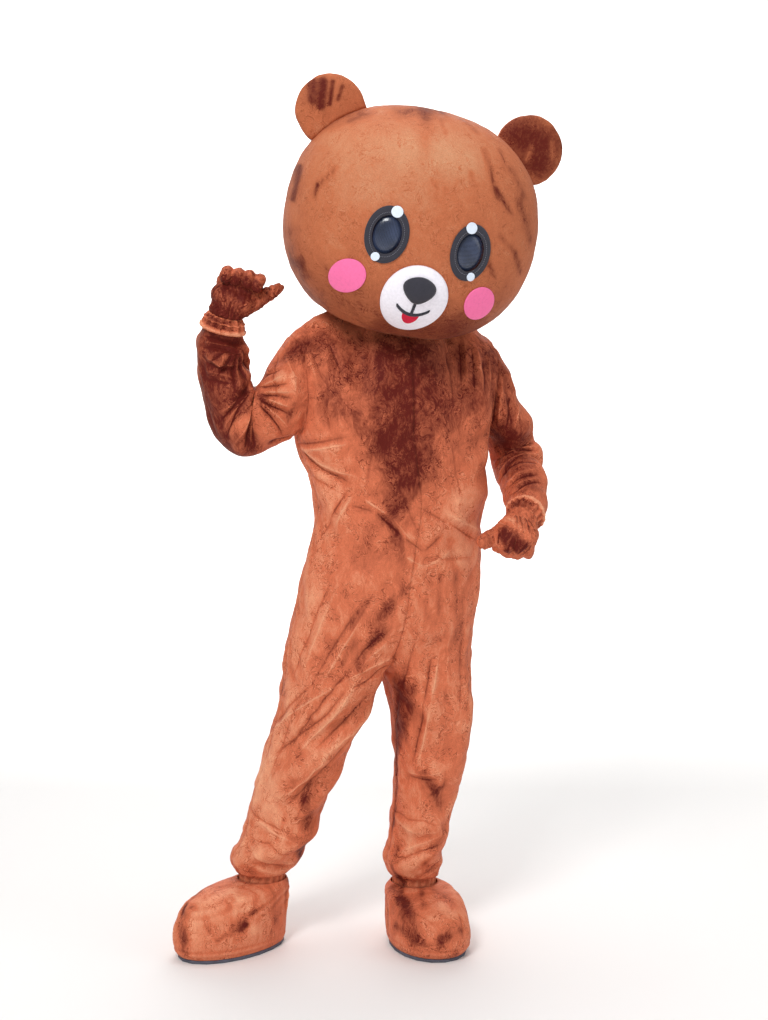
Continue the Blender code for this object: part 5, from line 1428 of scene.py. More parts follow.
class SewEyes(bpy.types.Operator):
    """Felt eye rims round see-through mesh, with two glints and a stitched line each"""

    bl_idname = "costume.sew_eyes"
    bl_label = "Eyes"

    def execute(self, context):
        tones = colours()
        black = felt("black felt", tones.black)
        for side, sign in SIDES.items():
            centre = (sign * EYE["u"], EYE["v"])
            half = (EYE["rim_u"], EYE["rim_v"])
            inner = EYE["ring_u"] / EYE["rim_u"]
            thick = sizes().felt
            rim = [(inner, 0), (0.82, 0), (1, 0), (1.012, thick * 0.5), (0.995, thick),
                   (0.9, thick), (0.8, thick), (inner + 0.012, thick), (inner - 0.006, thick * 0.5)]
            bm = laid_on_face(turned(rim, 96, closed=True), centre, half)
            finished(new_object(f"eye_rim_{side}", bm), black, "black_felt", f"eye_rim_{side}")
            back = -EYE["lens_thick"]
            bm = turned([(0, back), (0.5, back), (1, back), (1, 0), (0.5, 0), (0, 0)], 64)
            x, y, z = places_of(bm).T
            u = centre[0] + x * (EYE["hole_u"] - LIFT)
            v = centre[1] + z * (EYE["hole_v"] - LIFT)
            put_all(bm, face_points(u, v, inward=EYE["lens_depth"] + y))
            finished(new_object(f"eye_lens_{side}", bm), lens_mesh("vinyl mesh", tones.lens),
                     "dark_lens", f"eye_lens_{side}")
            turn = np.linspace(0, 2 * math.pi, 64, endpoint=False)
            path = face_points(centre[0] + np.cos(turn) * half[0] * EYE["thread"],
                               centre[1] + np.sin(turn) * half[1] * EYE["thread"], LIFT + thick)
            stitches(f"eye_thread_{side}", path, tones.thread)
            for name, (u, v, radius) in GLINTS.items():
                bm = turned(soft_slab(thick=0.0012, edge=0.12), 32)
                place = (centre[0] + sign * u, centre[1] + v)
                laid_on_face(bm, place, (radius, radius), lambda u, v: thick + LIFT)
                finished(new_object(f"glint_{name}_{side}", bm), felt("white felt", tones.glint),
                         "white_felt", f"glint_{name}_{side}")
        return {"FINISHED"}


def upright_grid(bm, columns, rows):
    """A sheet from -1 to 1 along u and v."""
    made = bmesh.ops.create_grid(bm, x_segments=columns, y_segments=rows, size=1,
                                 matrix=Matrix.Rotation(math.pi / 2, 4, "X"))
    return made["verts"]


class SewFace(bpy.types.Operator):
    """Plush muzzle with nose, mouth and tongue, and a round cheek on each side"""

    bl_idname = "costume.sew_face"
    bl_label = "Muzzle and cheeks"

    def execute(self, context):
        tones = colours()
        shares = np.concatenate([[0.0], np.linspace(0.12, 0.94, 12), [0.97, 0.99]])
        profile = [(0, 0), (0.5, 0), (0.985, 0), (1, MUZZLE["edge"] * 0.5)]
        profile += [(s, float(dome(MUZZLE, s))) for s in reversed(shares)]
        half = (MUZZLE["half_u"], MUZZLE["half_v"])
        bm = laid_on_face(turned(profile, 96), (0, MUZZLE["v"]), half)
        muzzle = new_object("muzzle", bm)
        finished(muzzle, felt("short plush", tones.white, roughness=0.95), "white_plush", "muzzle")
        black = felt("black felt", tones.black)

        def rounded_triangle(x, z):
            return x * (1 + 0.20 * z), z * (1 + 0.06 * np.cos(math.pi * x))

        top = np.linspace(0, 0.985, 9)
        profile = [(0, 0), (0.6, 0), (0.97, 0), (1, NOSE["edge"] * 0.5)]
        profile += [(s, float(dome(NOSE, s))) for s in reversed(top)]
        bm = laid_on_face(turned(profile, 64), (0, NOSE["v"]), (NOSE["half_u"], NOSE["half_v"]),
                          muzzle_height, rounded_triangle)
        nose = finished(new_object("nose", bm), black, "black_felt", "nose")
        self.draw_mouth(black)
        self.put_tongue(felt("red felt", tones.red))
        for side, sign in SIDES.items():
            slab = soft_slab(sizes().felt, edge=0.035, rings=(0, 0.25, 0.5, 0.72, 0.88))
            bm = turned(slab, 64)
            laid_on_face(bm, (sign * CHEEK["u"], CHEEK["v"]), (CHEEK["radius"], CHEEK["radius"]))
            finished(new_object(f"cheek_{side}", bm), felt("pink felt", tones.pink), "pink_felt",
                     f"cheek_{side}")
        return {"FINISHED"}

    def smile(self, t):
        return MOUTH["low"] + MOUTH["curl"] * t * t

    def draw_mouth(self, black):
        """A curved strip and a short upright one up to the nose, of one cut of felt."""
        bm = bmesh.new()
        for vert in upright_grid(bm, 48, 4):
            t, across = vert.co.x, vert.co.z
            narrow = math.sqrt(max(0.0, 1 - max(0.0, (abs(t) - 0.94) / 0.06) ** 2))
            v = self.smile(t) + across * MOUTH["half_line"] * narrow
            vert.co = Vector((t * MOUTH["half_u"], 0, v))
        for vert in upright_grid(bm, 4, 12):
            v = MOUTH["low"] + (MOUTH["top"] - MOUTH["low"]) * (vert.co.z + 1) / 2
            vert.co = Vector((vert.co.x * MOUTH["half_line"], 0, v))
        self.lay_strip(bm, "mouth", black, "black_felt", MOUTH["lift"])

    def put_tongue(self, red):
        """A rounded tongue that hangs from the mouth."""
        bm = bmesh.new()
        for vert in upright_grid(bm, 24, 10):
            t, fall = vert.co.x * TONGUE["reach"], (1 - vert.co.z) / 2
            edge = math.sqrt(max(0.0, 1 - vert.co.x**2))
            top = self.smile(t) - MOUTH["half_line"] * 0.6
            vert.co = Vector((t * MOUTH["half_u"], 0, top - fall * (0.001 + TONGUE["drop"] * edge)))
        self.lay_strip(bm, "tongue", red, "red_felt", TONGUE["lift"])

    def lay_strip(self, bm, name, material, slot, lift):
        """Lays flat cloth over the muzzle, with its good side out."""
        u, _, v = places_of(bm).T
        put_all(bm, face_points(u, v, muzzle_height(u, v) + LIFT + lift))
        out = Vector(HEAD_TURN @ np.array([0, -1.0, 0]))
        bmesh.ops.reverse_faces(bm, faces=[f for f in bm.faces if f.normal.dot(out) < 0])
        strip = new_object(name, bm)
        walled(strip, STRIP)
        finished(strip, material, slot, name)


# Gloves --------------------------------------------------------------------------------------
# Laid out in the hand's own frame: t towards the thumb's side, p out of the palm, w up the hand.

GLOVES = {
    "right": dict(gather=(-0.3892, -0.0357, 0.0377), cuff=(0.15, -0.35, 0.92),
                  hand=(0.40, -0.20, 0.89), thumb=(0.96, -0.25, -0.17), palm=1,
                  thumb_tip=(-0.269, -0.050, 0.097), spread=0.975, curl=0.0, nap_and_shading=0.34),
    "left": dict(gather=(0.2300, -0.1660, -0.4000), cuff=(-0.60, -0.60, -0.53),
                 hand=(-0.58, -0.58, -0.58), thumb=(-0.93, 0.10, -0.20), palm=-1,
                 thumb_tip=(0.117, -0.200, -0.444), spread=0.58, curl=0.004, nap_and_shading=0.10),
}
# Balls that both hands are blended from, and more that fill out the back of the left one.
PALM_BALLS = table(
    "t p w t_half p_half w_half",
    (0.000, 0.000, 0.002, 0.0352, 0.0348, 0.020),
    (0.000, 0.002, 0.018, 0.0375, 0.0345, 0.024),
    (0.000, 0.002, 0.034, 0.0455, 0.0345, 0.030),
    (0.000, -0.002, 0.062, 0.0450, 0.0290, 0.030),
    (0.018, 0.014, 0.034, 0.0260, 0.0240, 0.026),
    (-0.022, 0.010, 0.034, 0.0220, 0.0240, 0.024),
)
BACK_BALLS = table(
    "t p w t_half p_half w_half",
    (0.001, -0.003, 0.054, 0.0480, 0.0310, 0.047),
    (0.002, 0.008, 0.062, 0.0450, 0.0340, 0.033),
    (0.000, 0.014, 0.056, 0.0440, 0.0330, 0.032),
)
FINGERS = table(
    "t radius reach_right reach_left",
    (-0.0340, 0.0108, 0.89, 0.74),
    (-0.0118, 0.0116, 0.96, 0.84),
    (0.0105, 0.0118, 1.02, 0.84),
    (0.0325, 0.0116, 1.05, 0.76),
)
FINGER_LINE = ((-0.020, 0.062), (-0.013, 0.082), (0.002, 0.091), (0.018, 0.091), (0.027, 0.085),
               (0.027, 0.077))
THUMB = dict(start=(0.026, 0.012, 0.030), base=0.0205, right=0.0098, left=0.0150)
GLOVE_GRAIN = 0.0026  # size of the cells in which the parts of a hand are blended
WRIST_PLEATS = 17
PLEAT_CELLS = 14  # faces across one pleat
# Painted shade in the hollow under the fingertips, in the hand's own frame.
HOLLOW_SHADE = table(
    "t0 p0 w0 t1 p1 w1 width strength",
    (-0.030, 0.032, 0.060, 0.030, 0.032, 0.060, 0.011, 1.0),
    (-0.006, 0.030, 0.068, 0.014, 0.032, 0.056, 0.013, 0.7),
    (0.022, 0.036, 0.070, 0.026, 0.030, 0.085, 0.008, 0.5),
)
GLOVE_FOLDS = runs(
    "x0 y0 z0 x1 y1 z1 width height",
    (-419, -47, 92, -414, -50, 113, 2.6, 2.2),
    (-419, -52, 84, -412, -66, 107, 2.6, 2.6),
    (-412, -66, 107, -398, -81, 114, 2.6, 2.2),
    (-416, -57, 82, -409, -72, 99, 2.2, 2),
    (-412, -66, 80, -396, -85, 108, 2.6, 2.6),
    (-396, -87, 101, -388, -92, 106, 2.4, 2),
    (-375, -93, 106, -373, -93, 87, 2.2, 1.8),
    (-382, -92, 103, -379, -90, 87, 2.2, 1.8),
    (-370, -92, 109, -368, -94, 95, 2.2, 1.8),
    (-419, -50, 87, -415, -51, 111, 2.6, -2.6),
    (-419, -52, 79, -409, -72, 104, 2.4, -2.4),
    (-407, -72, 81, -394, -89, 104, 2.6, -2.6),
    (-386, -92, 103, -384, -89, 87, 2.2, -2),
    (-378, -93, 106, -376, -91, 89, 2.2, -2),
    (-372, -92, 108, -370, -94, 92, 2.2, -2),
    (-409, -72, 99, -386, -93, 114, 4, -4),
    (-360, -91, 114, -359, -96, 103, 2, -1.6),
    (-346, -79, 119, -346, -95, 108, 2, -1.6),
    (-365, -92, 111, -364, -95, 99, 2, 1.6),
    (169, -170, -406, 187, -222, -416, 3, 3),
    (159, -202, -417, 152, -207, -450, 3, 3),
    (185, -239, -431, 178, -215, -472, 3, 3),
    (222, -238, -438, 188, -221, -474, 2.8, 2.4),
    (224, -240, -455, 199, -223, -480, 2.8, 2.4),
    (159, -213, -421, 155, -212, -449, 3, -3),
    (180, -235, -433, 172, -219, -463, 3, -3),
    (209, -242, -437, 184, -221, -471, 2.8, -2.4),
    (221, -243, -446, 195, -222, -478, 2.6, -2.2),
    (200, -189, -385, 183, -202, -401, 2.2, 2),
    (207, -192, -384, 194, -229, -416, 2.4, 2.4),
    (215, -199, -387, 209, -234, -421, 2.4, 2.4),
    (222, -205, -389, 222, -236, -432, 2.4, 2.2),
    (230, -208, -396, 236, -230, -437, 2.4, 2),
    (203, -191, -385, 193, -218, -411, 2.2, -2.2),
    (211, -196, -385, 200, -235, -418, 2.2, -2.4),
    (218, -203, -389, 215, -235, -427, 2.2, -2.4),
    (226, -207, -392, 228, -234, -434, 2.2, -2.2),
)
CUFF = {
    "right": dict(top=-0.0006, base=0.0345, rim=0.0480, length=0.0320, pleats=15, wave=0.0034,
                  rolls=((0.36, 0.0030, 0.055), (0.86, 0.0042, 0.075))),
    "left": dict(top=-0.0006, base=0.0345, rim=0.0490, length=0.0335, pleats=17, wave=0.0038,
                 rolls=((0.86, 0.0030, 0.13),)),
}


def hand_frame(side, bend=1):
    """The ways to the thumb's side, out of the palm and up: cuff at bend 0, hand at bend 1."""
    glove = GLOVES[side]
    cuff, hand, thumb = unit(glove["cuff"]), unit(glove["hand"]), np.array(glove["thumb"])
    way = unit(cuff + (hand - cuff) * bend)
    thumb = unit(thumb - (thumb @ way) * way)
    return np.array([thumb, np.cross(thumb, way) * glove["palm"], way])


def ball(bm, centre, half):
    place = Matrix.Translation(Vector(centre)) @ Matrix.Diagonal((*half, 1))
    bmesh.ops.create_icosphere(bm, subdivisions=3, radius=1, matrix=place)


def ball_chain(bm, points, radii, share=0.35):
    """Balls along a bent line, close enough to blend into one finger."""
    points = np.asarray(points, float)
    for start, end, r0, r1 in zip(points, points[1:], radii, radii[1:]):
        steps = max(2, int(np.linalg.norm(end - start) / (share * min(r0, r1))) + 1)
        for s in np.linspace(0, 1, steps):
            r = r0 + (r1 - r0) * s
            ball(bm, start + (end - start) * s, (r, r, r))


def blended(name, bm):
    """Overlapping bodies melted into one soft skin."""
    form = new_object(name, bm)
    modifier(form, "REMESH", mode="VOXEL", voxel_size=GLOVE_GRAIN, use_smooth_shade=True)
    modifier(form, "SMOOTH", factor=0.5, iterations=5)
    return applied(form)


def tube(rows, pleats):
    """A tube of unit radius and height, fine enough for its pleats."""
    return turned([(1.0, share) for share in np.linspace(0, 1, rows)], PLEAT_CELLS * pleats)


def tube_places(bm):
    """Each point's turn round the tube and share of its height."""
    x, y, z = places_of(bm).T
    return np.arctan2(z, x), -y


class SewGloves(bpy.types.Operator):
    """Stuffed velvet paws with four curled fingers and a thumb, gathered at the wrist"""

    bl_idname = "costume.sew_gloves"
    bl_label = "Gloves"

    def execute(self, context):
        for side in SIDES:
            origin, axes = np.array(GLOVES[side]["gather"]), hand_frame(side)
            bm = bmesh.new()
            for b in PALM_BALLS + (BACK_BALLS if side == "left" else []):
                ball(bm, (b["t"], b["p"], b["w"]), (b["t_half"], b["p_half"], b["w_half"]))
            for finger in FINGERS:
                line = [(finger["t"], p + GLOVES[side]["curl"], w * finger["reach_" + side])
                        for p, w in FINGER_LINE]
                ball_chain(bm, line, [finger["radius"]] * len(line))
            tip = axes @ (np.array(GLOVES[side]["thumb_tip"]) - origin)
            start = np.array(THUMB["start"])
            way = unit(tip - start)
            last = tip - way * THUMB[side]
            ball_chain(bm, [start, last], [THUMB["base"], THUMB[side]], share=0.25)
            form = new_object("glove_" + side, blended("glove_" + side, bm))
            rounded(form, levels=1)
            form = new_object("glove_" + side, applied(form))
            local = points_of(form.data)
            normals = normals_of(form.data)
            put_points(form.data, local + normals * self.wrinkles(local)[:, None])
            bm = opened(form.data)
            bpy.data.objects.remove(form)
            wrist = axes @ unit(np.array(GLOVES[side]["cuff"]))
            bmesh.ops.bisect_plane(bm, geom=bm.verts[:] + bm.edges[:] + bm.faces[:], dist=MERGE,
                                   plane_co=wrist * 0.0004, plane_no=-wrist, clear_outer=True)
            local = places_of(bm)
            put_all(bm, origin + local @ axes)
            glove = new_object("glove_" + side, bm)
            points, normals = points_of(glove.data), normals_of(glove.data)
            skin = surface_of(glove.data)
            laid, lines = laid_creases(points, normals, GLOVE_FOLDS, skin, full=0.0026)
            put_points(glove.data, points + normals * laid[:, None])
            set_layers(glove.data, lines)
            mark_ridges(glove.data, rounds=10, full=0.0008)
            store_nap_and_shading(glove.data, nap_and_shading_level(local, HOLLOW_SHADE, "tpw"), nap_and_shading_level(points, NAP_AND_SHADING),
                      np.full(len(points), GLOVES[side]["nap_and_shading"]))
            walled(glove, sizes().cloth)
            nodes = [f"glove_{part}_{side}" for part in ("palm", "back", "thumb")]
            finished(glove, suit_velvet(), "brown_velvet", *nodes)
            self.ruffle(side)
        return {"FINISHED"}

    def wrinkles(self, local):
        """Pleats that fan out from the wrist gather, and soft dents over the rest."""
        t, p, w = local.T
        turn = np.arctan2(p, t)
        drift = noise_field(local, 30.0, seed=33, octaves=2)
        sway = turn * WRIST_PLEATS + 1.8 * np.sin(turn * 3 + 0.7) + 20 * w + 3.5 * drift
        reach = 0.050 + 0.018 * np.sin(turn * 5 + 1)
        pleat = 0.0018 * (np.abs(np.cos(sway / 2)) ** 3 - 0.45) * step(reach, 0.004, w)
        fine = 0.0006 * np.cos(turn * 37 + 4 * np.sin(turn * 2) + 3 * drift) * step(0.050, 0.010, w)
        dents = 0.0013 * noise_field(local, 26.0, seed=31)
        dents += 0.0006 * noise_field(local, 90.0, seed=32, octaves=2)
        thumb = step(0.040, 0.050, t) * 0.0010 * np.cos(t * 620 + 2 * drift)
        return pleat + fine + dents + thumb

    def ruffle(self, side):
        """The cuff: a pleated flare below the gather, with a rolled hem."""
        cuff = CUFF[side]
        spread = cuff["base"] + (cuff["rim"] - cuff["base"]) * GLOVES[side]["spread"]
        bm = tube(30, cuff["pleats"])
        turn, share = tube_places(bm)
        radius = cuff["base"] + (spread - cuff["base"]) * share**0.75
        sway = turn * cuff["pleats"] + 1.1 * np.sin(turn * 2 + 1) + 0.8 * share
        crowd = (0.45 + 0.55 * share) * step(0.90, 0.62, share) + 0.22
        radius += cuff["wave"] * (np.cos(sway) - 0.3) * crowd * (0.4 + 0.6 * GLOVES[side]["spread"])
        radius += 0.0016 * np.sin(turn * 3 + 1) * share - 0.0012 * step(0.16, 0.0, share)
        rolls = 0
        for at, height, width in cuff["rolls"]:
            rolls = rolls + height * np.exp(-(((share - at) / width) ** 2))
        radius += rolls + 0.0006 * np.cos(turn * 46) * step(0.80, 1.0, share)
        points = self.along_wrist(side, turn, cuff["top"] - share * cuff["length"], radius)
        put_all(bm, points)
        made = new_object("glove_cuff_cloth_" + side, bm)
        turn_outwards(made, points.mean(0))
        mark_ridges(made.data, rounds=10, full=0.0016)
        # Painted highlight on the hem and the rolls, painted shade over the gathered middle, and a
        # tone that waves round the cuff.
        lit = step(0.66, 0.80, share) + 0.8 * (rolls > 0.0015)
        shade = step(0.03, 0.12, share) * step(0.80, 0.62, share)
        level = 0.55 * shade - 0.45 * np.minimum(lit, 1) + 0.25 * np.sin(turn * 2 + 4)
        set_layer(made.data, "nap_and_shading", level)
        walled(made, sizes().cloth)
        finished(made, suit_velvet(), "brown_velvet", "glove_cuff_" + side)

    def along_wrist(self, side, turn, along, radius):
        """Points at a turn round the wrist, a way along it and a distance from its middle."""
        thumb, palm, way = hand_frame(side, 0)
        gather = np.array(GLOVES[side]["gather"])
        ring = np.outer(np.cos(turn), thumb) + np.outer(np.sin(turn), palm)
        return gather + np.outer(along, way) + ring * radius[:, None]


def turn_outwards(obj, middle):
    """Flips the sheet if most of its faces look towards the middle."""
    bm = opened(obj.data)
    middle = Vector(middle)
    total = sum((f.calc_center_median() - middle).dot(f.normal) * f.calc_area() for f in bm.faces)
    if total < 0:
        bmesh.ops.reverse_faces(bm, faces=bm.faces)
        bm.to_mesh(obj.data)
    bm.free()
    obj.data.shade_smooth()


# Shoe covers ---------------------------------------------------------------------------------

SHOES = {
    "right": dict(ankle=(-0.278, 0.101), toe_way=(-0.944, -0.331), hem=-1.188, collar=0.0525,
                  spread=0.0017),
    "left": dict(ankle=(0.062, 0.041), toe_way=(-0.040, -1.0), hem=-1.212, collar=0.0500,
                 spread=0.0012),
}
SOLE_LAP = 0.0085  # height above the floor at which the cover meets the sole
# Creases of the shoe covers, laid out like those of the suit.
SHOE_FOLDS = runs(
    "x0 y0 z0 x1 y1 z1 width height",
    (-449, 82, -1234, -479, 60, -1267, 5, 2.5),
    (-479, 60, -1267, -488, 41, -1318, 5, 2.5),
    (-412, 106, -1220, -456, 63, -1235, 6, -2.5),
    (-456, 63, -1235, -476, 43, -1264, 6, -2.5),
    (-476, 43, -1264, -481, 16, -1310, 6, -2.5),
    (-330, 64, -1204, -286, 24, -1219, 6, -1.5),
    (-348, 64, -1206, -304, 13, -1241, 6, -1.5),
    (-386, 24, -1218, -376, -7, -1241, 5, -1.5),
    (-363, 40, -1211, -356, 0, -1231, 5, 1.5),
    (-20, -24, -1247, -29, -62, -1302, 6, 2),
    (15, 7, -1227, 112, 69, -1250, 6, -2),
    (12, -26, -1231, 71, -48, -1231, 6, 2),
    (-15, -22, -1239, 13, -87, -1241, 5, -2),
    (0, -108, -1251, 43, -165, -1278, 6, -1.5),
    (120, -115, -1262, 113, -153, -1312, 6, 2),
    (97, -135, -1258, 93, -168, -1305, 6, -2),
)
COLLAR = dict(over=0.020, under=0.032, pleats=17, wave=0.0022)
SHARP = math.radians(50)  # edges of a hard piece that are eased


def fitted(node, bevel=0.0, segments=2):
    """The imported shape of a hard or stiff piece, with whole flat faces and eased edges."""
    bm = opened(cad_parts[node].data)
    bmesh.ops.remove_doubles(bm, verts=bm.verts, dist=MERGE)
    bmesh.ops.dissolve_limit(bm, angle_limit=math.radians(1), verts=bm.verts, edges=bm.edges)
    if bevel:
        sharp = [e for e in bm.edges if e.is_manifold and e.calc_face_angle() > SHARP]
        bmesh.ops.bevel(bm, geom=sharp, offset=bevel, segments=segments, profile=0.5,
                        affect="EDGES", clamp_overlap=True, material=-1)
    bmesh.ops.recalc_face_normals(bm, faces=bm.faces)
    return bm


class SewShoes(bpy.types.Operator):
    """Velvet shoe covers on foam soles, gathered under the leg hems"""

    bl_idname = "costume.sew_shoes"
    bl_label = "Shoe covers"

    def execute(self, context):
        for side, shoe in SHOES.items():
            node = "shoe_upper_" + side
            form = new_object(node + "_form", outer_sheet(node))
            form = new_object(node + "_form", refined(form, levels=3))
            points = points_of(form.data)
            ahead = (points[:, :2] - np.array(shoe["ankle"])) @ unit(np.array(shoe["toe_way"]))
            rise = points[:, 2] - (FLOOR + SOLE_LAP)
            rim = 0.0009 * np.exp(-(((rise - 0.012) / 0.0035) ** 2))
            groove = -0.0010 * np.exp(-(((rise - 0.0195) / 0.0030) ** 2)) * step(0.02, 0.08, ahead)
            vamp = 0.0012 * noise_field(points * (1, 1, 0.6), 9.0, seed=41)
            vamp *= step(0.02, 0.05, rise)
            drift = noise_field(points, 8.0, seed=43, octaves=1)
            instep = 0.0010 * np.cos(rise * 300 + ahead * 60 + 2 * drift)
            instep *= step(0.07, 0.11, rise) * step(0.13, 0.10, rise)
            height = (rim + groove + vamp + instep) * (1 - step(0.14, 0.155, rise))
            height *= step(0.0, 0.004, rise)
            normals = normals_of(form.data)
            laid, lines = laid_creases(points, normals, SHOE_FOLDS, surface_of(form.data))
            put_points(form.data, points + normals * (height + laid)[:, None])
            set_layers(form.data, lines)
            mesh = form.data
            bpy.data.objects.remove(form)
            upper = new_object(node + "_cloth", mesh)
            turn_outwards(upper, points.mean(0))
            mark_ridges(upper.data, rounds=10, full=0.0016)
            store_nap_and_shading(upper.data)
            walled(upper, sizes().cloth)
            finished(upper, suit_velvet(), "brown_velvet", node)
            form = fitted("shoe_sole_" + side, bevel=0.0022, segments=3)
            sole = new_object(f"shoe_sole_{side}_foam", form)
            finished(sole, foam_sole("EVA foam", colours().sole), "grey_sole", "shoe_sole_" + side)
            self.gather(side, shoe)
        return {"FINISHED"}

    def gather(self, side, shoe):
        """The collar: a pleated tube with elastic, from over the leg hem down into the cover."""
        bm = tube(22, COLLAR["pleats"])
        turn, share = tube_places(bm)
        top, low = shoe["hem"] + COLLAR["over"], shoe["hem"] - COLLAR["under"]
        z = top + (low - top) * share
        tight = shoe["collar"]
        radii = [tight - 0.002, tight + shoe["spread"] - 0.0005, tight - 0.0005, tight - 0.001]
        radius = np.interp(share, [0, 0.32, 0.55, 1], radii)
        sway = turn * COLLAR["pleats"] + 1.4 * np.sin(turn * 2 + 2) + 1.5 * share
        radius += COLLAR["wave"] * (np.cos(sway) - 1) * 0.6 * step(1.0, 0.7, share)
        radius += 0.0005 * np.cos(turn * 53) * step(0.5, 0.1, share)
        points = np.column_stack([shoe["ankle"][0] + np.cos(turn) * radius,
                                  shoe["ankle"][1] + np.sin(turn) * radius, z])
        put_all(bm, points)
        collar = new_object("shoe_collar_cloth_" + side, bm)
        turn_outwards(collar, points.mean(0))
        mark_ridges(collar.data, rounds=8, full=0.0008)
        store_nap_and_shading(collar.data)
        walled(collar, sizes().cloth)
        finished(collar, suit_velvet(), "brown_velvet", "shoe_collar_" + side)


# Back zip ------------------------------------------------------------------------------------

ZIP = dict(bottom=-0.55, beside=0.02, pitch=0.0034, tooth=(0.0030, 0.0016, 0.0013), offset=0.0011,
           bare_end=0.004)


class SetZip(bpy.types.Operator):
    """Woven tape down the back with brass teeth, slider and pull"""

    bl_idname = "costume.set_zip"
    bl_label = "Back zip"

    def execute(self, context):
        tones = colours()
        metal = brass("satin brass", tones.brass)
        tape = new_object("zip_tape_woven", fitted("zip_tape"))
        finished(tape, woven("polyester zip tape", tones.tape), "zip_tape", "zip_tape")
        surface = surface_of(tape.data)
        high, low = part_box("zip_tape")[1].z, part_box("zip_tape")[0].z
        teeth = bmesh.new()
        size = Matrix.Diagonal((*ZIP["tooth"], 1))
        z, x = high - ZIP["bare_end"], ZIP["offset"]
        while z > low + ZIP["bare_end"]:
            place, normal, _, _ = surface.ray_cast(Vector((0, 1, z)), Vector((0, -1, 0)))
            if place is not None:
                turn = normal.to_track_quat("Y", "Z").to_matrix().to_4x4()
                at = Matrix.Translation(place + Vector((x, 0, 0)))
                bmesh.ops.create_cube(teeth, size=1, matrix=at @ turn @ size)
            z -= ZIP["pitch"] / 2
            x = -x
        bmesh.ops.bevel(teeth, geom=teeth.edges[:], offset=0.0003, segments=1, profile=0.5,
                        affect="EDGES", material=-1)
        finished(new_object("zip_teeth", teeth), metal, "zip_metal")
        slider = new_object("zip_slider_metal", fitted("zip_slider", bevel=0.0005))
        finished(slider, metal, "zip_metal", "zip_slider")
        pull = new_object("zip_pull_tab", fitted("zip_pull", bevel=0.0003))
        finished(pull, woven("polyester zip tape", tones.tape), "zip_tape", "zip_pull")
        return {"FINISHED"}


# Stage ---------------------------------------------------------------------------------------

CAMERA = dict(place=(-1.288, -3.469, -0.120), turn=-20.0, down=4.06, lens=59.61, film=36.0)
LIGHTS = table(
    "name x y z at_x at_y at_z width height watts",
    ("key light", -2.4, -2.9, 2.3, 0.0, 0.0, -0.35, 1.2, 1.2, 112.0),
    ("fill light", 2.8, -2.4, 0.6, 0.0, 0.0, -0.35, 2.4, 2.4, 22.0),
    ("top light", 0.2, 0.3, 3.0, 0.0, 0.0, -0.35, 2.0, 2.0, 42.0),
    ("back light", 1.2, 2.6, 1.4, 0.0, 0.0, -0.35, 2.0, 2.0, 30.0),
    ("backdrop light", 1.4, 3.6, 3.4, 3.0, 8.0, 1.0, 7.0, 2.5, 540.0),
)
BACKDROP = dict(half=9.0, near=9.0, far=6.0, bend=2.0, height=9.0)
SKY = dict(tone="#FCFCFF", strength=0.42)


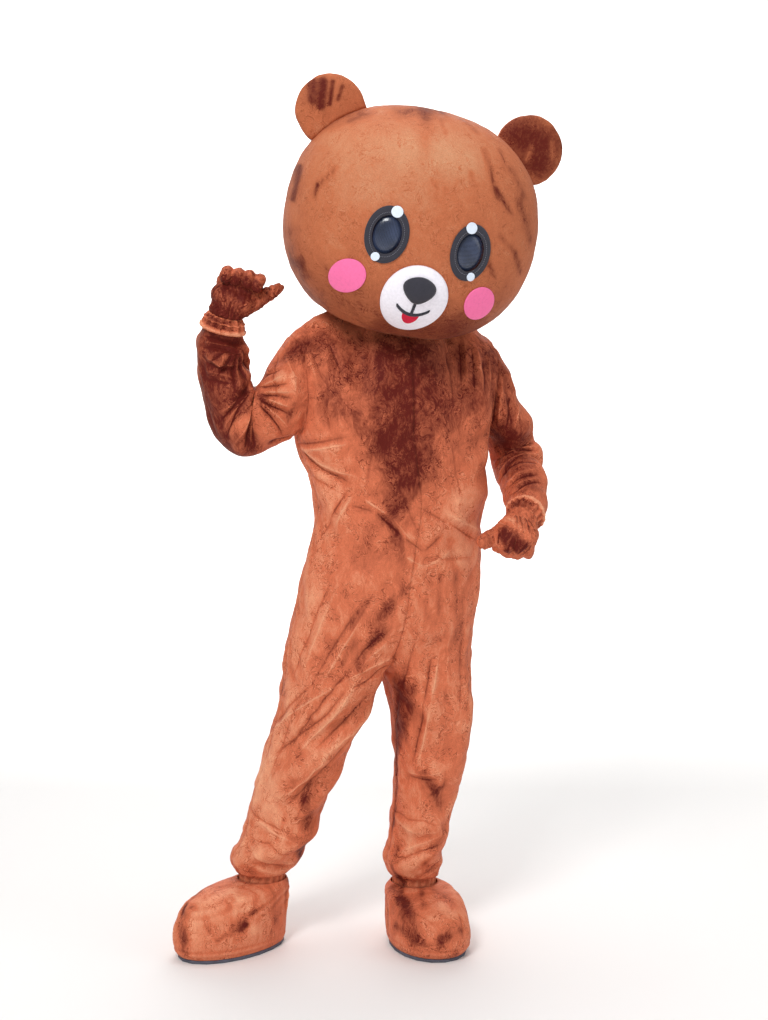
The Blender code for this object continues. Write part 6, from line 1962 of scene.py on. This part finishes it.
class SetStage(bpy.types.Operator):
    """Plain pale floor that bends up into a backdrop, soft lights and the camera"""

    bl_idname = "costume.set_stage"
    bl_label = "Stage"

    def execute(self, context):
        scene = context.scene
        self.lay_floor()
        world = bpy.data.worlds.new("studio")
        scene.world = world
        world.use_nodes = True
        back = world.node_tree.nodes["Background"]
        back.inputs["Color"].default_value = linear(SKY["tone"])
        back.inputs["Strength"].default_value = SKY["strength"]
        for light in LIGHTS:
            data = bpy.data.lights.new(light["name"], "AREA")
            data.shape = "RECTANGLE"
            data.size, data.size_y, data.energy = light["width"], light["height"], light["watts"]
            lamp = bpy.data.objects.new(light["name"], data)
            lamp.location = Vector((light["x"], light["y"], light["z"]))
            aim = Vector((light["at_x"], light["at_y"], light["at_z"])) - lamp.location
            lamp.rotation_euler = aim.to_track_quat("-Z", "Y").to_euler()
            scene.collection.objects.link(lamp)
        data = bpy.data.cameras.new("camera")
        data.lens, data.sensor_width = CAMERA["lens"], CAMERA["film"]
        camera = bpy.data.objects.new("camera", data)
        camera.location = CAMERA["place"]
        camera.rotation_euler = [math.radians(a) for a in (90 - CAMERA["down"], 0, CAMERA["turn"])]
        scene.collection.objects.link(camera)
        scene.camera = camera
        scene.view_settings.view_transform = "Standard"
        return {"FINISHED"}

    def lay_floor(self):
        """One sheet: flat floor, a round bend and an upright wall."""
        far, bend = BACKDROP["far"], BACKDROP["bend"]
        whole = far + BACKDROP["height"] + BACKDROP["near"]
        bm = bmesh.new()
        bmesh.ops.create_grid(bm, x_segments=2, y_segments=64, size=1)
        for vert in bm.verts:
            run = (vert.co.y + 1) / 2 * whole - BACKDROP["near"]
            turn = min(max(run - far, 0) / bend, math.pi / 2)
            up = max(run - far - bend * math.pi / 2, 0)
            y = min(run, far) + bend * math.sin(turn)
            z = FLOOR + bend * (1 - math.cos(turn)) + up
            vert.co = Vector((vert.co.x * BACKDROP["half"], y, z))
        ground = new_object("backdrop", bm)
        _, paper, shader, _ = started("studio paper", 0.95, Specular_IOR_Level=0.05)
        shader.inputs["Base Color"].default_value = colours().floor
        ground.data.materials.append(paper)


class CostumePanel(bpy.types.Panel):
    """Colours, sizes and one button for each piece"""

    bl_idname = "VIEW3D_PT_costume"
    bl_label = "Plush Bear Costume"
    bl_space_type = "VIEW_3D"
    bl_region_type = "UI"
    bl_category = "Costume"

    def draw(self, context):
        for group in GROUPS:
            box = self.layout.box()
            settings = getattr(context.scene, group)
            for name in settings.bl_rna.properties.keys():
                if name not in ("rna_type", "name"):
                    box.prop(settings, name)
        for made in ORDER:
            self.layout.operator(made.bl_idname)


ORDER = (CutSuit, CoverHead, SewEars, SewEyes, SewFace, SewGloves, SewShoes, SetZip, SetStage)
CLASSES = (CostumeColours, ClothSizes, *ORDER, CostumePanel)


def register():
    for made in CLASSES:
        bpy.utils.register_class(made)
    for name, group in GROUPS.items():
        setattr(bpy.types.Scene, name, PointerProperty(type=group))


def unregister():
    for name in GROUPS:
        delattr(bpy.types.Scene, name)
    for made in reversed(CLASSES):
        bpy.utils.unregister_class(made)


def main():
    register()
    for made in ORDER:
        category, name = made.bl_idname.split(".")
        getattr(getattr(bpy.ops, category), name)()


if __name__ == "__main__":
    main()
